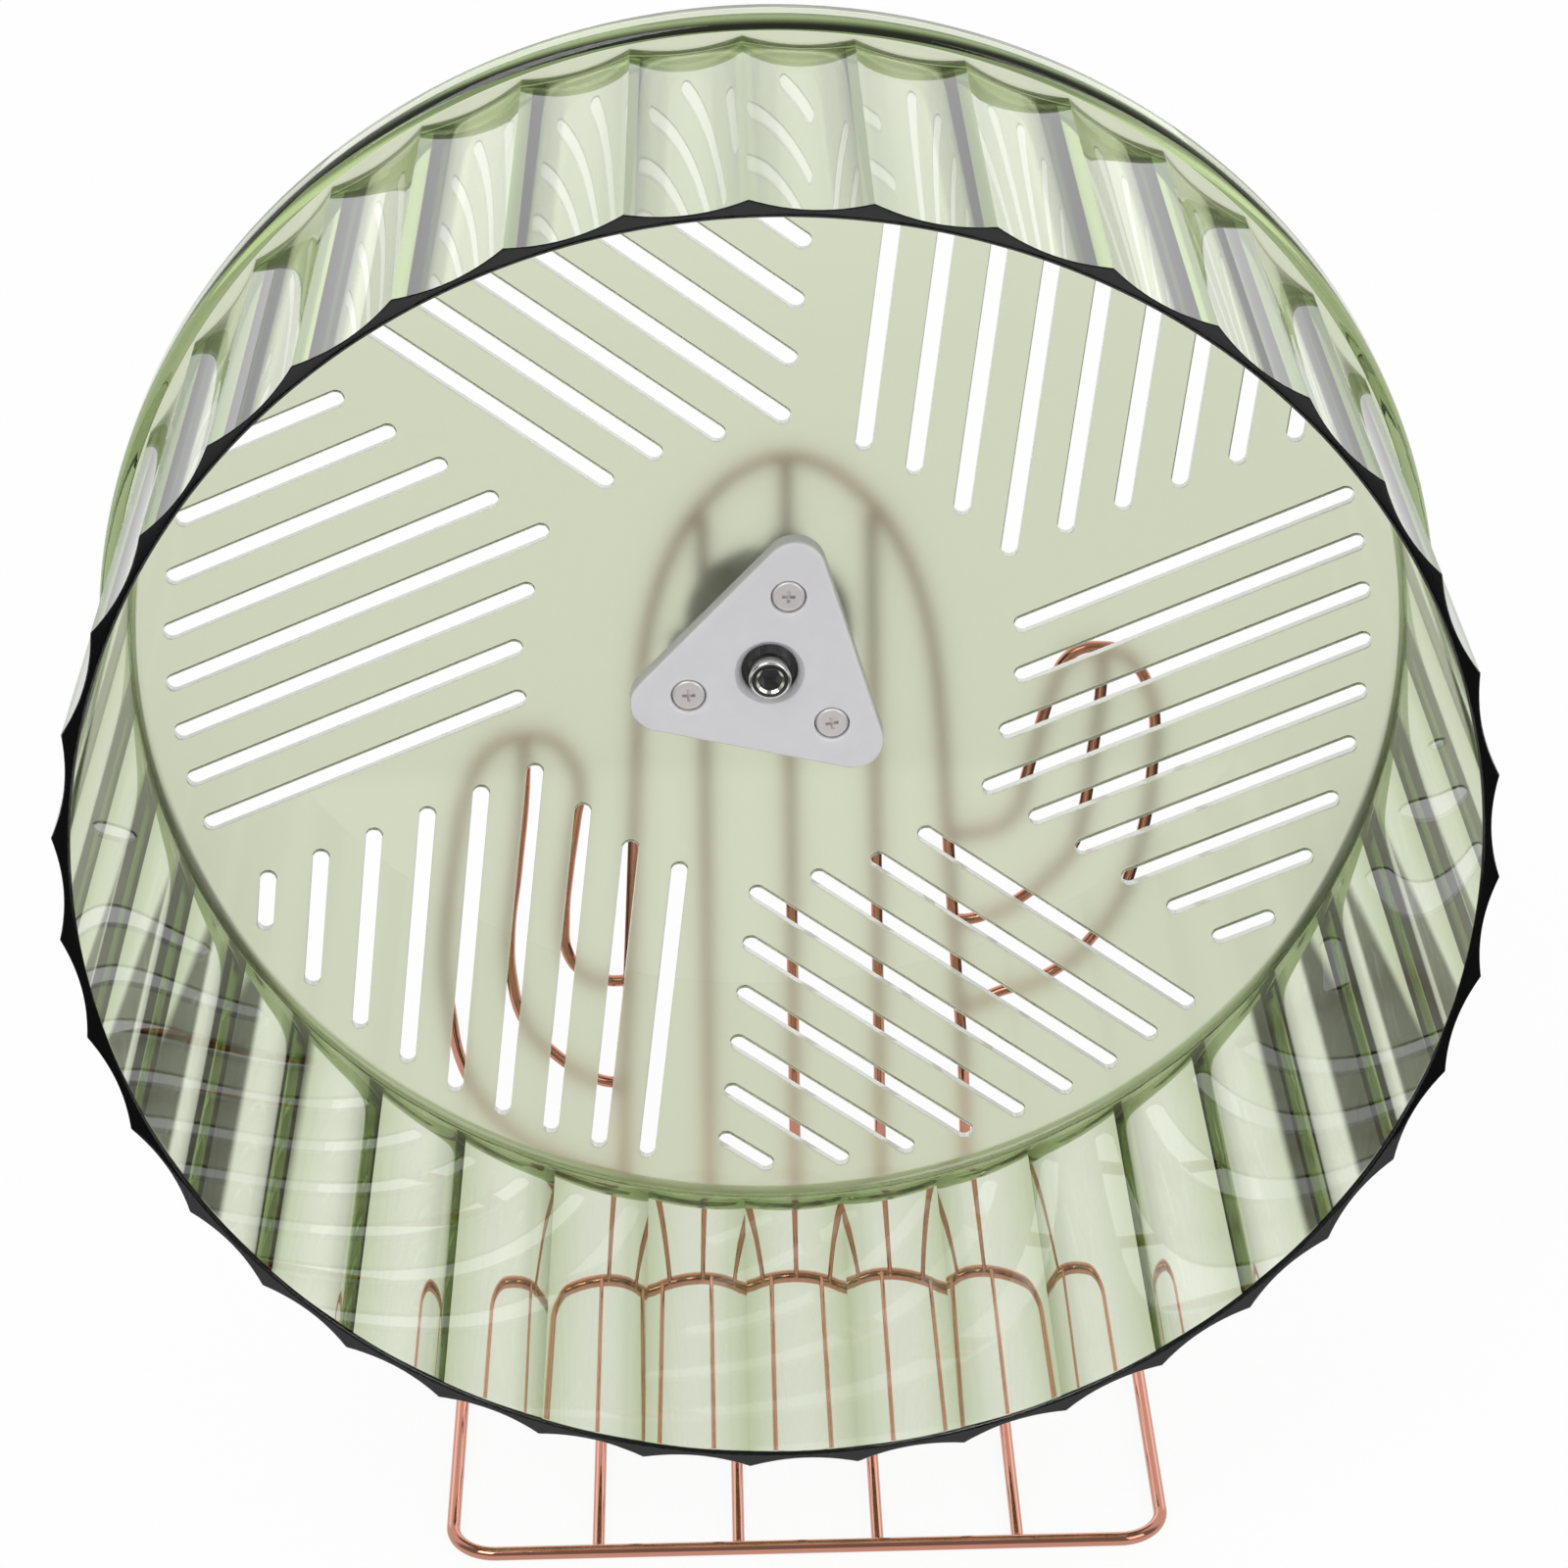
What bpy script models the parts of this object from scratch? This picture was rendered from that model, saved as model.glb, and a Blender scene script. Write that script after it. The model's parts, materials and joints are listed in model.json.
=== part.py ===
"""Hamster exercise wheel: a clear fluted drum on two ball bearings, carried by a cactus-shaped wire stand.

Metres, +Z up. The floor is z = 0, x = 0 lies on the wheel's axis and the drum opens towards -Y.
"""
import math

import bmesh
import bpy
import numpy as np
from mathutils import Matrix, Vector

# Clearances shared by all pieces
SEAT_GAP = 0.0003
FIT_GAP = 0.00015
CUT_OVERRUN = 0.002
WELD_DISTANCE = 0.000001
AXIS_WELD_DISTANCE = 0.00001

# Drum: fluted running wall, slotted disc and the flange with its rearward skirt
DRUM_DEPTH = 0.0889
INNER_RADIUS = 0.1266
RIDGE_WALL = 0.0034
FLUTE_DEPTH = 0.00185
DRUM_DRAFT = 0.00095
RIM_ROUND = 0.0008
DISC_THICKNESS = 0.002
DISC_FILLET = 0.0022
FLANGE_REACH = 0.0023
FLANGE_ROUND = 0.0027
SKIRT_DEPTH = 0.0081
SKIRT_THICKNESS = 0.003
FLUTE_COUNT = 39
FLUTE_STEPS = 3
FLUTE_PHASE = math.radians(3.92)
WHEEL_TURN = math.radians(22.9)

# Slots of the disc: six groups of parallel slots
SLOT_GROUPS = 6
SLOTS_PER_GROUP = 9
SLOT_WIDTH = 0.0034
FIRST_SLOT_OFFSET = 0.013
SLOT_INNER_RADIUS = 0.049
SLOT_RIM_MARGIN = 0.00635
SLOT_END_OFFSET = 0.0019
LAST_SLOT_SHARE = 0.803

# Hub plate in front of the disc, with its three screws
PLATE_THICKNESS = 0.0045
PLATE_CORNER_OFFSET = 0.0058
PLATE_CORNER_RADIUS = 0.0061
PLATE_EDGE_ROUND = 0.0012
PLATE_HOLE_CLEARANCE = 0.00245
PLATE_LIP_OVERLAP = 0.0009
PLATE_LIP_DEPTH = 0.0016
SCREW_COUNT = 3
SCREW_ANGLE = math.radians(53.6)
SCREW_PITCH = 0.0168
SCREW_RADIUS = 0.0015
SCREW_LENGTH = 0.0115
SCREW_HEAD_RADIUS = 0.00275
SCREW_HEAD_HEIGHT = 0.0019
SCREW_HEAD_ROUND = 0.0005
RECESS_REACH = 0.0016
RECESS_WIDTH = 0.0008
RECESS_DEPTH = 0.0011
COUNTERBORE_RADIUS = 0.0035
COUNTERBORE_DEPTH = 0.0026

# Bearing housing behind the disc
HOUSING_LENGTH = 0.020
SPIGOT_WALL = 0.0028
SHOULDER_HEIGHT = 0.0008
POST_RADIUS = 0.004

# Ball bearings
BEARING_RADIUS = 0.0065
BEARING_WIDTH = 0.004
LAND_DISTANCE = 0.0008
GROOVE_REACH = 0.00075
GROOVE_FLOOR = 0.0003
BALL_COUNT = 7
BALL_RADIUS = 0.00095
CAGE_WALL = 0.00045

# Axle screw, its nut and the pieces that it clamps
BOLT_RADIUS = 0.0025
BOLT_HEAD_RADIUS = 0.00425
BOLT_HEAD_HEIGHT = 0.005
BOLT_HEAD_CHAMFER = 0.0005
BOLT_TAIL = 0.001
SOCKET_FLATS = 0.004
SOCKET_DEPTH = 0.0025
SPACER_RADIUS = 0.0036
REAR_SPACER_LENGTH = 0.001
BUSHING_RADIUS = 0.005
BUSHING_LENGTH = 0.00385
NUT_FLATS = 0.008
NUT_HEIGHT = 0.004
RIB_CLEARANCE = 0.0005

# Wire stand
FLOOR_CLEARANCE = 0.0355
BASE_WIRE_RADIUS = 0.0014
WIRE_RADIUS = 0.00125
BASE_HALF_WIDTH = 0.0722
BASE_DEPTH = 0.0946
BASE_CORNER_RADIUS = 0.009
INNER_BAR_OFFSET = 0.0141
OUTER_BAR_OFFSET = 0.0425
TRUNK_HEIGHT = 0.2006
TRUNK_HALF_WIDTH = 0.038
RIB_FOOT_OFFSET = 0.019
RIB_TOP_OFFSET = 0.017
LEFT_ARM_HEIGHT = 0.0298
LEFT_ARM_RISE = 0.1091
LEFT_ARM_REACH = 0.0391
RIGHT_ARM_HEIGHT = 0.0722
RIGHT_ARM_RISE = 0.0841
RIGHT_ARM_REACH = 0.0443

# Outlines of the cactus. Trunk: shares of its half width and of its height, foot to top
trunk_shares = [(1.0, 0.0), (0.978, 0.165), (0.958, 0.284), (0.921, 0.385), (0.853, 0.60), (0.822, 0.70),
                (0.77, 0.795), (0.71, 0.846), (0.629, 0.89), (0.505, 0.934), (0.368, 0.965), (0.20, 0.99),
                (0.0, 1.0)]
# Arms: shares of the reach from the trunk leg and of the rise above the arm's foot
left_arm_shares = [(0.0, 0.0), (0.06, 0.003), (0.25, 0.035), (0.48, 0.08), (0.66, 0.135), (0.80, 0.20),
                   (0.90, 0.28), (0.96, 0.38), (1.0, 0.50), (0.985, 0.64), (0.95, 0.76), (0.90, 0.87),
                   (0.80, 0.96), (0.68, 0.995), (0.58, 1.0), (0.45, 0.995), (0.33, 0.955), (0.265, 0.89),
                   (0.285, 0.82), (0.32, 0.70), (0.335, 0.60), (0.31, 0.52), (0.22, 0.475),
                   (0.08, 0.455), (0.0, 0.454)]
left_rib_shares = [(0.575, 0.93), (0.61, 0.70), (0.64, 0.57), (0.625, 0.47), (0.54, 0.365), (0.38, 0.295),
                   (0.20, 0.245), (0.06, 0.222), (0.0, 0.221)]
right_arm_shares = [(0.0, 0.0), (0.05, 0.003), (0.18, 0.03), (0.33, 0.055), (0.50, 0.105), (0.66, 0.19),
                    (0.79, 0.29), (0.87, 0.40), (0.94, 0.53), (0.98, 0.67), (1.0, 0.80), (0.985, 0.88),
                    (0.93, 0.95), (0.86, 0.99), (0.77, 1.0), (0.67, 0.995), (0.59, 0.965), (0.53, 0.91),
                    (0.47, 0.83), (0.41, 0.73), (0.36, 0.64), (0.31, 0.56), (0.22, 0.515),
                    (0.08, 0.498), (0.0, 0.497)]
right_rib_shares = [(0.755, 0.90), (0.72, 0.80), (0.68, 0.68), (0.64, 0.56), (0.565, 0.44), (0.44, 0.365),
                    (0.30, 0.30), (0.16, 0.262), (0.05, 0.243), (0.0, 0.242)]

# Facets of round pieces
RING_STEPS = 20
SCREW_STEPS = 16
POCKET_STEPS = 10
ARC_STEPS = 4
SLOT_END_STEPS = 3
CORNER_STEPS = 6
SMOOTH_STEPS = 2

# Radii that follow from the sizes above
ridge_radius = INNER_RADIUS + RIDGE_WALL
flange_radius = ridge_radius + FLANGE_REACH
ridge_draft_radius = ridge_radius - DRUM_DRAFT
inner_draft_radius = INNER_RADIUS - DRUM_DRAFT
slot_outer_radius = inner_draft_radius - SLOT_RIM_MARGIN
slot_spacing = (LAST_SLOT_SHARE * slot_outer_radius - FIRST_SLOT_OFFSET) / (SLOTS_PER_GROUP - 1)
plate_corner_pitch = SCREW_PITCH + PLATE_CORNER_OFFSET
plate_hole_radius = BOLT_HEAD_RADIUS + PLATE_HOLE_CLEARANCE
plate_lip_radius = BEARING_RADIUS - PLATE_LIP_OVERLAP
housing_radius = SCREW_PITCH
spigot_radius = BEARING_RADIUS + SPIGOT_WALL
ball_pitch_radius = (BOLT_RADIUS + BEARING_RADIUS) / 2
inner_land_radius = ball_pitch_radius - LAND_DISTANCE
outer_land_radius = ball_pitch_radius + LAND_DISTANCE
axle_height = flange_radius + FLOOR_CLEARANCE

# Places along the axle, from the disc's front face towards the back
plate_rear = -SEAT_GAP
plate_front = plate_rear - PLATE_THICKNESS
counterbore_floor = plate_front + COUNTERBORE_DEPTH
head_rear = counterbore_floor - SEAT_GAP
housing_front = DISC_THICKNESS + SEAT_GAP
front_bearing_front = plate_front + PLATE_LIP_DEPTH + SEAT_GAP
rear_bearing_front = HOUSING_LENGTH - BEARING_WIDTH
spacer_front = front_bearing_front + BEARING_WIDTH + SEAT_GAP
spacer_rear = rear_bearing_front - SEAT_GAP
rear_spacer_front = HOUSING_LENGTH + SEAT_GAP
rear_spacer_rear = rear_spacer_front + REAR_SPACER_LENGTH
bushing_front = rear_spacer_rear + SEAT_GAP
bushing_rear = bushing_front + BUSHING_LENGTH
trunk_back = bushing_rear + SEAT_GAP + WIRE_RADIUS
nut_front = trunk_back + WIRE_RADIUS + SEAT_GAP
tail_reach = nut_front + NUT_HEIGHT + BOLT_TAIL

# Places in the world: the part's depth is centred on y = 0
disc_y = (DRUM_DEPTH - tail_reach) / 2
trunk_y = disc_y + trunk_back
base_front_y = trunk_y - BASE_DEPTH
base_z = BASE_WIRE_RADIUS * math.cos(math.pi / 8)
foot_z = base_z + BASE_WIRE_RADIUS + SEAT_GAP
stand_x = BOLT_RADIUS + RIB_CLEARANCE + WIRE_RADIUS


def clear_scene():
    for old in list(bpy.data.objects):
        bpy.data.objects.remove(old, do_unlink=True)


def new_collection(name):
    collection = bpy.data.collections.new(name)
    bpy.context.scene.collection.children.link(collection)
    return collection


def new_material(name, colour, roughness, metallic, alpha=1.0):
    material = bpy.data.materials.new(name)
    material.use_nodes = True
    shader = material.node_tree.nodes["Principled BSDF"]
    shader.inputs["Base Color"].default_value = (*colour, 1.0)
    shader.inputs["Roughness"].default_value = roughness
    shader.inputs["Metallic"].default_value = metallic
    shader.inputs["Alpha"].default_value = alpha
    return material


def new_empty(name, place, turn=0.0):
    """Axis marker on the wheel's axle, turned about the axle."""
    empty = bpy.data.objects.new(name, None)
    empty.location = place
    empty.rotation_euler = (0.0, -turn, 0.0)
    parts.objects.link(empty)
    return empty


def add_part(name, data, material, parent=None, place=(0.0, 0.0, 0.0)):
    part = bpy.data.objects.new(name, data)
    part.parent = parent
    part.location = place
    data.materials.append(material)
    parts.objects.link(part)
    return part


def add_cutter(name, mesh, parent, place=(0.0, 0.0, 0.0)):
    cutter = bpy.data.objects.new(name, mesh)
    cutter.parent = parent
    cutter.location = place
    cutter.hide_render = True
    cutter.display_type = 'WIRE'
    cutters.objects.link(cutter)
    return cutter


def combine(part, other, operation='DIFFERENCE'):
    boolean = part.modifiers.new(other.name, 'BOOLEAN')
    boolean.operation = operation
    boolean.object = other


def shade_round(mesh):
    mesh.shade_smooth()
    mesh.set_sharp_from_angle(angle=math.radians(35))


def evaluated_mesh(source, name):
    """The object's mesh as its modifiers leave it, with coincident points welded."""
    bpy.context.view_layer.update()
    depsgraph = bpy.context.evaluated_depsgraph_get()
    mesh = bpy.data.meshes.new_from_object(source.evaluated_get(depsgraph))
    mesh.name = name
    shell = bmesh.new()
    shell.from_mesh(mesh)
    bmesh.ops.remove_doubles(shell, verts=shell.verts, dist=WELD_DISTANCE)
    bmesh.ops.recalc_face_normals(shell, faces=shell.faces)
    shell.to_mesh(mesh)
    shell.free()
    bpy.data.objects.remove(source, do_unlink=True)
    return mesh


def turned_mesh(name, profile, steps, closed=True):
    """Revolve (radius, y) points about the Y axis. The outer side runs from back to front."""
    mesh = bpy.data.meshes.new(name)
    count = len(profile)
    edges = [(point, point + 1) for point in range(count - 1)]
    if closed:
        edges.append((count - 1, 0))
    mesh.from_pydata([(radius, along, 0.0) for radius, along in profile], edges, [])
    blank = bpy.data.objects.new(name, mesh)
    cutters.objects.link(blank)
    screw = blank.modifiers.new("turn", 'SCREW')
    screw.axis = 'Y'
    screw.steps = steps
    screw.render_steps = steps
    screw.use_merge_vertices = True
    screw.merge_threshold = AXIS_WELD_DISTANCE
    return evaluated_mesh(blank, name)


def tube_mesh(name, inner, outer, length, steps=RING_STEPS):
    profile = [(outer, length), (outer, 0.0), (inner, 0.0), (inner, length)]
    return turned_mesh(name, profile, steps)


def outline_mesh(name, outlines, thickness):
    """Flat piece from (x, z) outlines, extruded along Y from zero to its thickness."""
    curve = bpy.data.curves.new(name, 'CURVE')
    curve.dimensions = '2D'
    curve.fill_mode = 'BOTH'
    curve.extrude = thickness / 2
    for outline in outlines:
        spline = curve.splines.new('POLY')
        spline.points.add(len(outline) - 1)
        spline.use_cyclic_u = True
        for point, (across, up) in zip(spline.points, outline):
            point.co = (across, up, 0.0, 1.0)
    blank = bpy.data.objects.new(name, curve)
    cutters.objects.link(blank)
    mesh = evaluated_mesh(blank, name)
    upright = Matrix.Rotation(math.pi / 2, 4, 'X')
    mesh.transform(Matrix.Translation((0.0, thickness / 2, 0.0)) @ upright)
    return mesh


def arc(centre, radius, start, end, steps):
    """Points of an arc in a plane, both ends included."""
    angles = [start + (end - start) * step / steps for step in range(steps + 1)]
    offsets = [polar(radius, angle) for angle in angles]
    return [(centre[0] + across, centre[1] + up) for across, up in offsets]


def circle(radius, steps, centre=(0.0, 0.0)):
    return arc(centre, radius, 0.0, math.tau, steps)[:-1]


def polar(radius, angle):
    return (radius * math.cos(angle), radius * math.sin(angle))


def screw_angles():
    return [SCREW_ANGLE + math.tau * number / SCREW_COUNT for number in range(SCREW_COUNT)]


def smooth_path(points, steps=SMOOTH_STEPS):
    """Points of a smooth curve through the given (x, z) points."""
    guide = [np.array(point) for point in points]
    guide = [2 * guide[0] - guide[1]] + guide + [2 * guide[-1] - guide[-2]]
    path = []
    for first, second, third, fourth in zip(guide, guide[1:], guide[2:], guide[3:]):
        for step in range(steps):
            t = step / steps
            bend = 2 * first - 5 * second + 4 * third - fourth
            twist = 3 * second - 3 * third + fourth - first
            path.append(second + (third - first + bend * t + twist * t * t) * t / 2)
    path.append(guide[-2])
    return [(float(point[0]), float(point[1])) for point in path]


def wire(name, points, radius, material, closed=False):
    """Round wire along (x, y, z) points, with a flat facet down where it lies on the floor."""
    curve = bpy.data.curves.new(name, 'CURVE')
    curve.dimensions = '3D'
    curve.bevel_depth = radius
    curve.bevel_resolution = 2
    curve.use_fill_caps = True
    spline = curve.splines.new('POLY')
    spline.points.add(len(points) - 1)
    spline.use_cyclic_u = closed
    for point, place in zip(spline.points, points):
        point.co = (*place, 1.0)
        point.tilt = math.pi / 8
    spline.use_smooth = True
    return add_part(name, curve, material)


def drum_profile():
    """Open half section from the disc's rear face round the flange and the wall to its front face."""
    skirt_inner = flange_radius - SKIRT_THICKNESS
    flange_centre = (flange_radius - FLANGE_ROUND, FLANGE_ROUND)
    fillet_centre = (inner_draft_radius - DISC_FILLET, -DISC_FILLET)
    profile = [(skirt_inner, DISC_THICKNESS), (skirt_inner, SKIRT_DEPTH), (flange_radius, SKIRT_DEPTH)]
    profile += arc(flange_centre, FLANGE_ROUND, 0.0, -math.pi / 2, ARC_STEPS - 1)
    profile += [(ridge_draft_radius, 0.0), (ridge_radius, -DRUM_DEPTH)]
    profile += [(INNER_RADIUS + RIM_ROUND, -DRUM_DEPTH), (INNER_RADIUS, RIM_ROUND - DRUM_DEPTH)]
    profile += arc(fillet_centre, DISC_FILLET, 0.0, math.pi / 2, ARC_STEPS - 1)
    return profile


def cut_flutes(mesh):
    """Draw the outer wall in between its ridges, in hollow flutes."""
    pitch = math.tau / FLUTE_COUNT
    wall_middle = (ridge_radius + INNER_RADIUS) / 2
    for vertex in mesh.vertices:
        across, along, up = vertex.co
        radius = math.hypot(across, up)
        if radius < wall_middle or radius > ridge_radius + FIT_GAP or along > FIT_GAP:
            continue
        if along > -FIT_GAP and radius > ridge_draft_radius + FIT_GAP:
            continue
        share = (math.atan2(up, across) / pitch) % 1.0
        depth = FLUTE_DEPTH * (1.0 - (2.0 * share - 1.0) ** 2)
        scale = (radius - depth) / radius
        vertex.co = (across * scale, along, up * scale)


def slot_outlines():
    """Rounded slots: each group runs along its own direction and stops short of the next one."""
    sector = math.tau / SLOT_GROUPS
    end_radius = SLOT_WIDTH / 2
    outlines = []
    for group in range(SLOT_GROUPS):
        turn = Matrix.Rotation(-sector * group, 2)
        for number in range(SLOTS_PER_GROUP):
            across = FIRST_SLOT_OFFSET + slot_spacing * number
            outer = math.sqrt(slot_outer_radius ** 2 - across ** 2) - end_radius
            inner = (SLOT_END_OFFSET + across * math.cos(sector)) / math.sin(sector)
            if across < SLOT_INNER_RADIUS:
                inner = max(inner, math.sqrt(SLOT_INNER_RADIUS ** 2 - across ** 2))
            inner += end_radius
            outline = arc((outer, -across), end_radius, -math.pi / 2, math.pi / 2, SLOT_END_STEPS)
            outline += arc((inner, -across), end_radius, math.pi / 2, 3 * math.pi / 2, SLOT_END_STEPS)
            outlines.append([tuple(turn @ Vector(point)) for point in outline])
    return outlines


def make_drum():
    steps = FLUTE_COUNT * FLUTE_STEPS
    mesh = turned_mesh("drum", drum_profile(), steps, closed=False)
    cut_flutes(mesh)
    mesh.transform(Matrix.Rotation(-FLUTE_PHASE, 4, 'Y'))
    shell = bmesh.new()
    shell.from_mesh(mesh)
    bmesh.ops.holes_fill(shell, edges=[edge for edge in shell.edges if edge.is_boundary], sides=0)
    bmesh.ops.recalc_face_normals(shell, faces=shell.faces)
    shell.to_mesh(mesh)
    shell.free()
    shade_round(mesh)
    drum = add_part("drum", mesh, clear_plastic, wheel)
    holes = slot_outlines()
    holes.append(circle(spigot_radius + SEAT_GAP, RING_STEPS))
    hole_radius = SCREW_RADIUS + SEAT_GAP
    holes += [circle(hole_radius, SCREW_STEPS, polar(SCREW_PITCH, angle)) for angle in screw_angles()]
    holes_mesh = outline_mesh("drum_holes", holes, DISC_THICKNESS + 2 * CUT_OVERRUN)
    combine(drum, add_cutter("drum_holes", holes_mesh, wheel, (0.0, -CUT_OVERRUN, 0.0)))


def make_hub_plate():
    """Rounded triangle whose tapered lip holds the front bearing, with three counterbored holes."""
    outline = []
    for angle in screw_angles():
        corner = polar(plate_corner_pitch, angle)
        half_turn = math.pi / SCREW_COUNT
        outline += arc(corner, PLATE_CORNER_RADIUS, angle - half_turn, angle + half_turn, CORNER_STEPS)
    plate = add_part("hub_plate", outline_mesh("hub_plate", [outline], PLATE_THICKNESS), milky_plastic,
                     wheel, (0.0, plate_front, 0.0))
    bevel = plate.modifiers.new("edge_round", 'BEVEL')
    bevel.width = PLATE_EDGE_ROUND
    bevel.segments = 2
    bevel.limit_method = 'ANGLE'
    bevel.angle_limit = math.radians(60)
    slope = (plate_hole_radius - plate_lip_radius) / PLATE_LIP_DEPTH
    reach = PLATE_THICKNESS + CUT_OVERRUN
    seat = BEARING_RADIUS + FIT_GAP
    bore = [(0.0, reach), (seat, reach), (seat, PLATE_LIP_DEPTH), (plate_lip_radius, PLATE_LIP_DEPTH),
            (plate_hole_radius + slope * CUT_OVERRUN, -CUT_OVERRUN), (0.0, -CUT_OVERRUN)]
    bore_mesh = turned_mesh("plate_bore", bore, RING_STEPS, closed=False)
    combine(plate, add_cutter("plate_bore", bore_mesh, wheel, (0.0, plate_front, 0.0)))
    hole_radius = SCREW_RADIUS + SEAT_GAP
    stepped = [(0.0, reach), (hole_radius, reach), (hole_radius, COUNTERBORE_DEPTH),
               (COUNTERBORE_RADIUS, COUNTERBORE_DEPTH), (COUNTERBORE_RADIUS, -CUT_OVERRUN),
               (0.0, -CUT_OVERRUN)]
    for number, angle in enumerate(screw_angles(), 1):
        across, up = polar(SCREW_PITCH, angle)
        step_mesh = turned_mesh("counterbore", stepped, SCREW_STEPS, closed=False)
        combine(plate, add_cutter(f"counterbore_{number}", step_mesh, wheel, (across, plate_front, up)))


def make_hub_screws():
    shaft_end = SCREW_HEAD_HEIGHT + SCREW_LENGTH
    profile = [(0.0, shaft_end), (SCREW_RADIUS, shaft_end), (SCREW_RADIUS, SCREW_HEAD_HEIGHT),
               (SCREW_HEAD_RADIUS, SCREW_HEAD_HEIGHT), (SCREW_HEAD_RADIUS, SCREW_HEAD_ROUND),
               (SCREW_HEAD_RADIUS - SCREW_HEAD_ROUND, 0.0), (0.0, 0.0)]
    half = RECESS_WIDTH / 2
    quarter = [(RECESS_REACH, -half), (RECESS_REACH, half), (half, half)]
    cross = []
    for turn in range(4):
        quarter_turn = Matrix.Rotation(math.pi / 2 * turn, 2)
        cross += [tuple(quarter_turn @ Vector(point)) for point in quarter]
    for number, angle in enumerate(screw_angles(), 1):
        across, up = polar(SCREW_PITCH, angle)
        place = (across, head_rear - SCREW_HEAD_HEIGHT, up)
        mesh = turned_mesh("hub_screw", profile, SCREW_STEPS, closed=False)
        shade_round(mesh)
        screw = add_part(f"hub_screw_{number}", mesh, bright_steel, wheel, place)
        cross_mesh = outline_mesh("recess", [cross], RECESS_DEPTH + CUT_OVERRUN)
        recess_place = (across, place[1] - CUT_OVERRUN, up)
        combine(screw, add_cutter(f"recess_{number}", cross_mesh, wheel, recess_place))


def housing_outline():
    """Round boss with an ear round each screw."""
    boss_start = 2 * math.asin(POST_RADIUS / (2 * housing_radius))
    ear_half = (math.pi + boss_start) / 2
    boss_end = math.tau / SCREW_COUNT - boss_start
    outline = []
    for angle in screw_angles():
        post = polar(SCREW_PITCH, angle)
        outline += arc(post, POST_RADIUS, angle - ear_half, angle + ear_half, CORNER_STEPS)
        outline += arc((0.0, 0.0), housing_radius, angle + boss_start, angle + boss_end, CORNER_STEPS)[1:-1]
    return outline


def make_housing():
    """Boss with ears for the screws, a spigot through the disc and a bearing seat at each end."""
    body = outline_mesh("bearing_housing", [housing_outline()], HOUSING_LENGTH - housing_front)
    body.transform(Matrix.Translation((0.0, housing_front, 0.0)))
    housing = add_part("bearing_housing", body, dark_plastic, wheel)
    middle = HOUSING_LENGTH / 2
    spigot = [(0.0, middle), (spigot_radius, middle), (spigot_radius, 0.0), (0.0, 0.0)]
    spigot_mesh = turned_mesh("spigot", spigot, RING_STEPS, closed=False)
    combine(housing, add_cutter("spigot", spigot_mesh, wheel), 'UNION')
    seat = BEARING_RADIUS + FIT_GAP
    shoulder = seat - SHOULDER_HEIGHT
    rear_end = HOUSING_LENGTH + CUT_OVERRUN
    bore = [(0.0, rear_end), (seat, rear_end), (seat, spacer_rear), (shoulder, spacer_rear),
            (shoulder, spacer_front), (seat, spacer_front), (seat, -CUT_OVERRUN), (0.0, -CUT_OVERRUN)]
    bore_mesh = turned_mesh("housing_bore", bore, RING_STEPS, closed=False)
    combine(housing, add_cutter("housing_bore", bore_mesh, wheel))
    pilot_radius = SCREW_RADIUS + FIT_GAP
    pilot_end = head_rear + SCREW_LENGTH + SEAT_GAP
    pilots = [circle(pilot_radius, SCREW_STEPS, polar(SCREW_PITCH, angle)) for angle in screw_angles()]
    combine(housing, add_cutter("pilots", outline_mesh("pilots", pilots, pilot_end), wheel))


def ring_profile(bore, land, floor):
    """Section of a bearing ring whose land carries a ball groove; the bore is its plain side."""
    middle = BEARING_WIDTH / 2
    groove = [(land, 0.0), (land, middle - GROOVE_REACH), (floor, middle - GROOVE_FLOOR),
              (floor, middle + GROOVE_FLOOR), (land, middle + GROOVE_REACH), (land, BEARING_WIDTH)]
    return [(bore, BEARING_WIDTH), (bore, 0.0)] + groove


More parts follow.
